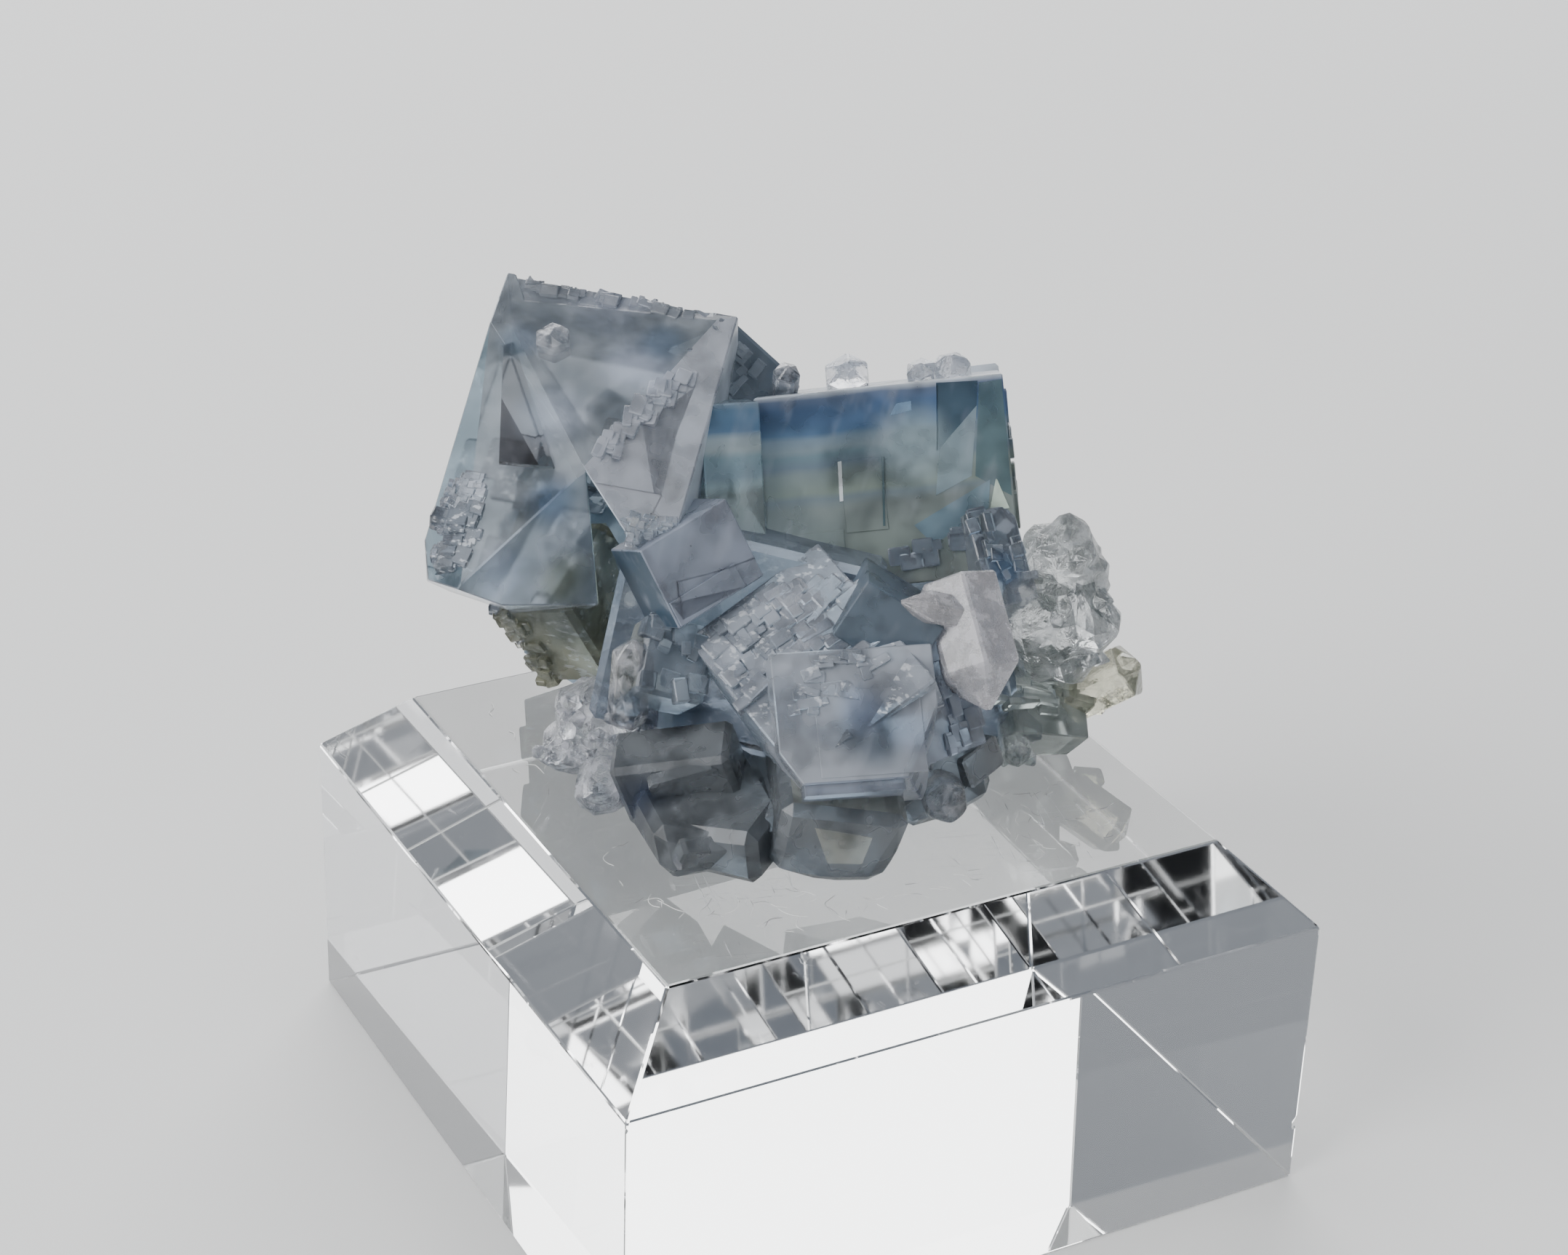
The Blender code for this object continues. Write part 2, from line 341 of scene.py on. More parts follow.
block = box_crystal("acrylic_block", (0, 0, BLOCK_HEIGHT / 2), (BLOCK_WIDTH, BLOCK_WIDTH, BLOCK_HEIGHT))
bpy.ops.object.mode_set(mode="EDIT")
bpy.ops.mesh.select_mode(type="EDGE")
bpy.ops.mesh.select_all(action="DESELECT")
bpy.ops.object.mode_set(mode="OBJECT")
edges_at_height(block, BLOCK_HEIGHT)
bpy.ops.object.mode_set(mode="EDIT")
bpy.ops.mesh.bevel(offset=BLOCK_BEVEL * MM, offset_type="OFFSET", segments=1)
bpy.ops.object.mode_set(mode="OBJECT")
soften_edges(block, BLOCK_EDGE, 2)
for place, size in KNOCKS:
    boolean(block, [pebble(place, size, KNOCK_TURN)], "DIFFERENCE")
print("block:", len(block.data.polygons), "faces")

# %% [markdown]
# ## Polished acrylic
#
# Clear acrylic bends light by 1.49 and has the palest tint. Years of handling leave it with hairline
# scratches, thickest in front of the specimen. A scratch here is a thin slice of a noise that is stretched
# some thirty times along one direction; two directions cross.

# %% Acrylic finish
ACRYLIC_IOR = 1.49
SCRATCH_TURNS = (17, 104)
SCRATCH_STRETCH = (0.03, 1.0, 1.0)
SCUFFED_EVERYWHERE = 0.12
SCUFFED_PLACES = (
    # place, radius
    ((11, -13.5, BLOCK_HEIGHT), 9),
    ((-13, -15, BLOCK_HEIGHT), 9),
    ((3, -16, BLOCK_HEIGHT), 7),
)

acrylic, tree, shader = new_material("polished acrylic")
place = millimetres(tree)
patchy = spread(tree, noise(tree, place, 0.35, 1), 0.50, 0.62)
scratches = 0.0
for number, turn in enumerate(SCRATCH_TURNS):
    lines = noise(tree, millimetres(tree, SCRATCH_STRETCH, (0, 0, turn)), 1.0, 0)
    thin = spread(tree, maths(tree, "ABSOLUTE", maths(tree, "SUBTRACT", lines, 0.5 + 0.03 * number)),
                  0.002, 0.012, 1.0, 0.0)
    scratches = maths(tree, "MAXIMUM", scratches, thin)
scuffed = SCUFFED_EVERYWHERE
for centre, radius in SCUFFED_PLACES:
    scuffed = maths(tree, "MAXIMUM", scuffed, blot(tree, place, centre, radius))
scratches = maths(tree, "MULTIPLY", scratches, maths(tree, "MULTIPLY", scuffed, patchy))
plug(tree, shader.inputs["Roughness"], spread(tree, scratches, 0.0, 1.0, 0.012, 0.30))
plug(tree, shader.inputs["Base Color"], mix(tree, scratches, (0.97, 0.98, 0.98), (0.92, 0.93, 0.94)))
plug(tree, shader.inputs["Transmission Weight"], spread(tree, scratches, 0.0, 1.0, 1.0, 0.6))
shader.inputs["IOR"].default_value = ACRYLIC_IOR
paint(block, acrylic)
hand_over(block, "display_block")

# %% [markdown]
# ## Lint on the block
#
# Short fibres lie on the block round the specimen, thickest in front of it. Two thirds are nearly straight
# dashes and the rest curl. Each is a curve through four points, a twentieth of a millimetre thick, turned
# into a mesh. All stay on the flat top, just clear of its bevel.

# %% Fibres
FIBRE_THICKNESS = 0.045
FIBRE_LIMIT = BLOCK_WIDTH / 2 - BLOCK_BEVEL - 0.7
# how far a fibre turns and runs from point to point, in radians and mm
STRAIGHT = (0.12, 0.28)
CURLY = (0.9, 0.7)
FIBRE_PATCHES = (
    # middle of a patch, its reach along X and Y, straight dashes, curly fibres
    ((11.3, -13.2), (3.4, 4.2), 26, 6),
    ((-11.5, -15.8), (4.5, 3.0), 10, 9),
    ((-1.5, -17.0), (6.0, 1.6), 12, 5),
    ((-17.0, -9.0), (1.6, 5.0), 6, 4),
    ((-15.5, 9.5), (2.5, 6.0), 4, 3),
    ((14.0, 4.0), (3.5, 9.0), 5, 4),
    ((2.0, 19.0), (12.0, 1.0), 5, 3),
)
draw = random.Random(11)
fibres = []
for (x, y), (reach_x, reach_y), straight, curly in FIBRE_PATCHES:
    for number in range(straight + curly):
        line = bpy.data.curves.new("fibre", "CURVE")
        line.dimensions = "3D"
        line.bevel_depth = FIBRE_THICKNESS / 2 * MM
        line.bevel_resolution = 0
        line.resolution_u = 3
        spline = line.splines.new("BEZIER")
        spline.bezier_points.add(3)
        heading = draw.uniform(0, math.tau)
        bend, stride = STRAIGHT if number < straight else CURLY
        spot = Vector((x + draw.uniform(-reach_x, reach_x), y + draw.uniform(-reach_y, reach_y), 0))
        for knot in spline.bezier_points:
            spot.z = BLOCK_HEIGHT + 0.03 + draw.uniform(0.0, 0.05)
            spot.x = max(-FIBRE_LIMIT, min(FIBRE_LIMIT, spot.x))
            spot.y = max(-FIBRE_LIMIT, min(FIBRE_LIMIT, spot.y))
            knot.co = spot * MM
            knot.handle_left_type = "AUTO"
            knot.handle_right_type = "AUTO"
            heading += draw.uniform(-bend, bend)
            spot += Vector((math.cos(heading), math.sin(heading), 0)) * stride * draw.uniform(0.6, 1.3)
        fibre = bpy.data.objects.new("fibre", line)
        bpy.context.scene.collection.objects.link(fibre)
        select_only(fibre)
        bpy.ops.object.convert(target="MESH")
        fibres.append(fibre)
lint = join(fibres, "lint")
fluff, tree, shader = new_material("lint")
patches = spread(tree, noise(tree, millimetres(tree), 0.35, 1), 0.45, 0.55)
plug(tree, shader.inputs["Base Color"], mix(tree, patches, (0.98, 0.98, 0.96), (0.36, 0.35, 0.36)))
shader.inputs["Roughness"].default_value = 0.8
paint(lint, fluff)
hand_over(lint)
print("lint:", len(lint.data.polygons), "faces")

# %% [markdown]
# ## The fluorite crystals
#
# Fluorite grows in cubes, and here more than twenty have grown into each other. Each row gives a
# crystal's centre, its three sides and its turn. Some are also cleaved: a cleavage is an azimuth and
# elevation that the new face looks along, and its distance from the crystal's centre. The largest crystal
# is two boxes with the same lattice, because a deep notch runs under its overhanging flap.

# %% Fluorite sizes and places
SEAT = BLOCK_HEIGHT + 0.04
BIG_CENTRE = (-13.6, 8.1, 43.1)
BIG_SIZE = (15.8, 13.0, 28.6)
BIG_TURN = (-62, 5, -39)
FLAP = (-11, 53, 6.6)
TOP_BAND = (-27, 72, 8.7)
LEFT_SLOPE = (-45, 56, 6.4)
LEFT_SLIVER = (-76, 47, 7.8)
UNDER_FLAP = (-100, -30, -2.6)
FLAP_RIM = (8, -31, 6.1)
LOWER_FACE = (11, 0, 3.7)
NOTCH = (80, 5.7, 0.5)
UNDERSIDE = (-18, -59, 5.7)
UNDERSIDE_LEFT = (-60, -56, 6.9)
LEFT_END = (-110, -2, 9.7)

FLUORITE = {
    # crystal: centre, size, turn, cleavages
    "big_upper": (BIG_CENTRE, BIG_SIZE, BIG_TURN,
                  (FLAP, TOP_BAND, LEFT_SLOPE, LEFT_SLIVER, UNDER_FLAP, FLAP_RIM)),
    "big_lower": (BIG_CENTRE, BIG_SIZE, BIG_TURN,
                  (LEFT_SLOPE, LEFT_SLIVER, LOWER_FACE, NOTCH, UNDERSIDE, UNDERSIDE_LEFT, LEFT_END)),
    "banded": ((9.0, 5.6, 42.7), (16.5, 13.4, 13.2), (-22, -8, -28), ()),
    "banded_column": ((-2.9, 7.4, 43.6), (3.9, 9.1, 11.8), (-21, 0, -15), ()),
    "shoulder": ((0.3, 13.1, 48.4), (5.6, 6.0, 6.0), (-32, 41, -35), ()),
    "shoulder_small": ((2.7, 11.9, 47.8), (2.6, 5.0, 2.6), (-28, 32, -28), ()),
    "slate_plate": ((-9.0, 0.2, 42.6), (6.9, 4.7, 5.7), (-24, -17, 8), ()),
    "frosted": ((-1.9, -6.0, 34.5), (13.1, 10.0, 10.6), (-58, 21, -80), ()),
    "frosted_plate": ((-2.6, -10.6, 34.4), (10.4, 7.0, 8.6), (-43, -1, -19),
                      ((42, -8, 5.2), (-92, -30, 5.0))),
    "blade": ((1.5, -7.7, 40.0), (5.8, 6.0, 4.2), (-13, 30, -35), ()),
    "wedge": ((2.6, -9.3, 34.8), (5.0, 7.0, 8.0), (-27, -3, 7), ()),
    "blue_small": ((-10.7, 0.7, 35.0), (4.6, 8.0, 5.2), (-38, 18, -19), ()),
    "right_slope": ((11.5, -2.6, 38.9), (3.4, 9.0, 6.6), (-40, -2, -6), ()),
    "olive": ((-12.1, 10.6, 35.6), (5.6, 8.0, 7.6), (25, -15, -54), ()),
    "foot_left": ((-10.7, -3.5, 28.5), (8.0, 3.8, 7.7), (19, -14, -37), ()),
    "foot_left_low": ((-7.4, -6.0, 27.0), (6.6, 13.0, 4.2), (2, -7, -50), ()),
    "foot_corner": ((-10.4, -6.2, 27.2), (8.5, 8.6, 4.2), (8, -6, -8), ((-43, 15, 4.7),)),
    "foot_front": ((-3.1, -9.6, 28.6), (8.2, 11.2, 5.6), (4, 8, -23),
                   ((40, -25, 5.4), (-50, -30, 6.3))),
    "foot_right": ((4.7, -6.7, 28.1), (7.2, 8.0, 6.2), (-5, -15, 4), ()),
    "foot_bar": ((14.9, -4.1, 26.0), (5.6, 9.0, 2.6), (-49, 13, -11), ()),
    "right_low": ((15.0, -1.4, 31.0), (7.6, 7.0, 6.0), (-30, 10, -22), ()),
    "root_middle": ((-2.5, 4.5, 35.0), (17.0, 15.0, 14.0), (-14, 10, -34), ()),
    "root_right": ((8.5, 1.5, 32.0), (13.0, 12.0, 12.5), (8, -12, -20), ()),
    "back_left": ((-5.6, 15.4, 33.5), (10.0, 10.5, 13.5), (12, -9, 24), ()),
    "back_middle": ((3.0, 14.0, 36.5), (11.5, 10.0, 13.0), (-16, 14, 38), ()),
    "back_right": ((12.0, 9.0, 32.5), (11.0, 10.5, 12.0), (21, 8, -62), ()),
    "back_small": ((-2.0, 18.0, 30.0), (7.5, 7.0, 8.0), (33, 18, 12), ()),
}

# %% [markdown]
# ## Finishes of the fluorite
#
# No two faces of a cluster look alike: one is glassy, its neighbour frosted, the next etched into tiny
# steps. A finish is a tint, and three shares from 0 to 1: haze, etching and colour bands. While the
# crystals are modelled, a finish is a marker material on their faces, because a Boolean carries material
# slots along. Afterwards the markers become attributes that one single material reads.

# %% Fluorite finishes
FINISHES = {
    # finish: tint, haze, etching, bands
    "lid": ((0.56, 0.61, 0.67), 0.78, 0.03, 0),
    "flap": ((0.37, 0.39, 0.44), 0.62, 0.14, 0),
    "top_band": ((0.24, 0.26, 0.29), 0.50, 0.16, 0),
    "window": ((0.40, 0.43, 0.46), 0.36, 0.05, 0),
    "sliver": ((0.40, 0.52, 0.59), 0.30, 0.06, 0),
    "lower": ((0.37, 0.42, 0.47), 0.46, 0.03, 0),
    "strip": ((0.46, 0.60, 0.63), 0.30, 0.04, 0),
    "underside": ((0.45, 0.47, 0.53), 0.40, 0.15, 0),
    "etched": ((0.19, 0.21, 0.245), 0.52, 0.40, 0),
    # sparkle: etched stone whose paler tint and specks are partly painted glints
    "sparkle": ((0.58, 0.60, 0.66), 0.34, 0.25, 0),
    "banded": ((0.30, 0.40, 0.43), 0.74, 0.02, 1.0),
    "column": ((0.36, 0.48, 0.53), 0.60, 0.03, 0.5),
    "navy": ((0.035, 0.06, 0.09), 0.92, 0.06, 0),
    "steel": ((0.19, 0.22, 0.26), 0.56, 0.12, 0),
    "slate": ((0.25, 0.28, 0.35), 0.66, 0.05, 0),
    "frosted": ((0.36, 0.39, 0.44), 0.60, 0.40, 0),
    "plate": ((0.36, 0.385, 0.43), 0.68, 0.11, 0),
    "blade": ((0.095, 0.125, 0.16), 0.66, 0.05, 0),
    "wedge": ((0.27, 0.30, 0.36), 0.52, 0.12, 0),
    "pink_grey": ((0.42, 0.45, 0.51), 0.30, 0.10, 0),
    "olive": ((0.25, 0.25, 0.18), 0.52, 0.20, 0),
    "dark_green": ((0.42, 0.46, 0.44), 0.48, 0.16, 0),
    # foot: dark fluorite, made darker still as painted shade at the base
    "foot": ((0.17, 0.185, 0.20), 0.58, 0.09, 0),
    # painted sheen: a pale tint for reflective-looking patches and the top of the foot
    "foot_pale": ((0.38, 0.39, 0.35), 0.50, 0.09, 0),
    "root": ((0.27, 0.31, 0.38), 0.35, 0.20, 0),
    "back": ((0.30, 0.38, 0.45), 0.45, 0.06, 0),
    "zone_dark": ((0.035, 0.065, 0.095), 0.72, 0.02, 0),
    "zone_pale": ((0.21, 0.28, 0.315), 0.62, 0.04, 0),
    "zone_teal": ((0.08, 0.13, 0.145), 0.70, 0.03, 0),
    "zone_blue": ((0.145, 0.22, 0.27), 0.74, 0.03, 0),
    "zone_light_blue": ((0.26, 0.42, 0.62), 0.55, 0.02, 0),
    # painted glint: a pale green-white tint for a small bright reflection
    "spark": ((0.80, 0.95, 0.80), 0.50, 0.02, 0),
    # painted highlight: a near-white tint for a lit edge
    "bright_edge": ((0.85, 0.90, 0.92), 0.60, 0.02, 0),
    "clear_window": ((0.30, 0.29, 0.30), 0.20, 0.02, 0),
}
PLAIN_FINISH = "back"
CRYSTAL_FINISH = {
    # the finish of a whole crystal; one without a row has the plain finish
    "big_upper": "lid", "big_lower": "lower", "banded": "banded", "banded_column": "column",
    "shoulder": "blade", "shoulder_small": "steel", "slate_plate": "slate", "frosted": "frosted",
    "frosted_plate": "plate", "blade": "blade", "wedge": "wedge", "blue_small": "steel",
    "right_slope": "pink_grey", "olive": "olive", "foot_left": "foot", "foot_left_low": "foot",
    "foot_corner": "foot", "foot_front": "foot", "foot_right": "foot", "foot_bar": "dark_green",
    "right_low": "dark_green", "root_middle": "root", "root_right": "root",
}
FACE_FINISH = {
    # faces named by their cleavage
    "big_upper": ((FLAP, "flap"), (TOP_BAND, "top_band"), (LEFT_SLOPE, "window"), (LEFT_SLIVER, "sliver"),
                  (FLAP_RIM, "sparkle")),
    "big_lower": ((LEFT_SLOPE, "window"), (LEFT_SLIVER, "sliver"), (NOTCH, "strip"),
                  (UNDERSIDE, "underside"), (UNDERSIDE_LEFT, "underside"), (LEFT_END, "etched")),
}
SIDE_FINISH = {
    # sides named by their own axis
    "slate_plate": (((-1, 0, 0), "navy"),),
    "wedge": (((-1, 0, 0), "navy"),),
    # painted sheen on the top of the front foot crystal
    "foot_front": (((0, 0, 1), "foot_pale"),),
    "frosted_plate": (((0, 0, -1), "slate"),),
    "blue_small": (((-1, 0, 0), "foot_pale"),),
}
SAME_WAY = 0.985
markers = {name: bpy.data.materials.new("marker " + name) for name in FINISHES}


def crystal_frame(name):
    """The matrix from a crystal's own frame to the model, in mm."""
    centre, size, turn = FLUORITE[name][:3]
    return Matrix.Translation(centre) @ Euler([math.radians(angle) for angle in turn]).to_matrix().to_4x4()


def tint_face(crystal, direction, finish):
    """Give the faces that look this way another finish."""
    crystal.data.materials.append(markers[finish])
    slot = len(crystal.data.materials) - 1
    for face in crystal.data.polygons:
        if face.normal.dot(direction) > SAME_WAY:
            face.material_index = slot


# %% [markdown]
# ## Growing the cluster
#
# Each crystal is a cube primitive, cleaved, cut level where it stands on the block, and given a hair of a
# bevel so that its edges catch light. The worn crystals of the foot have broader ones. A Boolean union then
# makes one closed solid of them all, because intergrown crystals have no wall between them.

# %% Fluorite crystals
EDGE = 0.09
BROAD_EDGES = {
    "foot_left": 0.7, "foot_left_low": 0.7, "foot_corner": 0.9, "foot_front": 1.5, "foot_right": 1.1,
    "olive": 0.4, "root_middle": 0.5, "root_right": 0.5, "blue_small": 0.3, "right_low": 0.4,
    "frosted": 0.12, "shoulder": 0.25,
}
crystals = []
for name, (centre, size, turn, cleavages) in FLUORITE.items():
    crystal = box_crystal(name, centre, size, turn)
    paint(crystal, markers[CRYSTAL_FINISH.get(name, PLAIN_FINISH)])
    for azimuth, elevation, distance in cleavages:
        direction = facing(azimuth, elevation)
        cleave(crystal, (Vector(centre) + direction * distance) * MM, direction)
    for (azimuth, elevation, distance), finish in FACE_FINISH.get(name, ()):
        tint_face(crystal, facing(azimuth, elevation), finish)
    for side, finish in SIDE_FINISH.get(name, ()):
        tint_face(crystal, crystal_frame(name).to_3x3() @ Vector(side), finish)
    cleave(crystal, Vector((0, 0, SEAT)) * MM, Vector((0, 0, -1)))
    soften_edges(crystal, BROAD_EDGES.get(name, EDGE))
    crystals.append(crystal)
cluster = crystals[0]
boolean(cluster, crystals[1:], "UNION")
print("crystals joined:", len(FLUORITE), "with", len(cluster.data.polygons), "faces")

# %% [markdown]
# ## Steps and blocks of growth
#
# An etched or hurried fluorite face isn't flat: it is a mosaic of small cubes in line with the large one,
# each standing a little above or below the next. One small block is modelled, and copies of it are
# scattered over a patch of a face, half sunk in it, each with its own size. A patch is four corners in the
# crystal's own frame. A block whose middle isn't close to the surface is left out, so none floats.


# %% Growth blocks
GROWTH_EDGE = 0.07
# how much farther than its reach a block's middle may lie from the surface
GROWTH_GAP = 0.15


def growth_blocks(name, patch, count, size, reach, finish, wobble, seed):
    """Blocks in mm, between two sizes, with centres from -reach to +reach off the patch."""
    draw = random.Random(seed)
    lattice = crystal_frame(name)
    a, b, c, d = [Vector(corner) for corner in patch]
    outwards = (b - a).cross(d - a).normalized()
    if outwards.dot(Vector((0, -1, 0))) < 0:
        outwards.negate()
    master = box_crystal("master", (0, 0, 0), (1, 1, 1))
    soften_edges(master, GROWTH_EDGE)
    surface = BVHTree.FromPolygons([point.co for point in cluster.data.vertices],
                                   [face.vertices for face in cluster.data.polygons])
    made = []
    for number in range(count):
        u = draw.random()
        v = draw.random()
        spot = (a * (1 - u) + b * u) * (1 - v) + (d * (1 - u) + c * u) * v
        spot += outwards * draw.uniform(-reach, reach)
        sides = [draw.uniform(low, high) for low, high in zip(*size)]
        tilt = Euler([math.radians(draw.gauss(0, wobble)) for axis in range(3)]).to_matrix().to_4x4()
        matrix = lattice @ Matrix.Translation(spot) @ tilt @ Matrix.Diagonal((*sides, 1))
        if surface.find_nearest(matrix.translation * MM)[3] > (reach + GROWTH_GAP) * MM:
            continue
        piece = bpy.data.objects.new("growth", master.data.copy())
        carry(piece, matrix)
        bpy.context.scene.collection.objects.link(piece)
        paint(piece, markers[finish])
        made.append(piece)
    bpy.data.objects.remove(master, do_unlink=True)
    return made


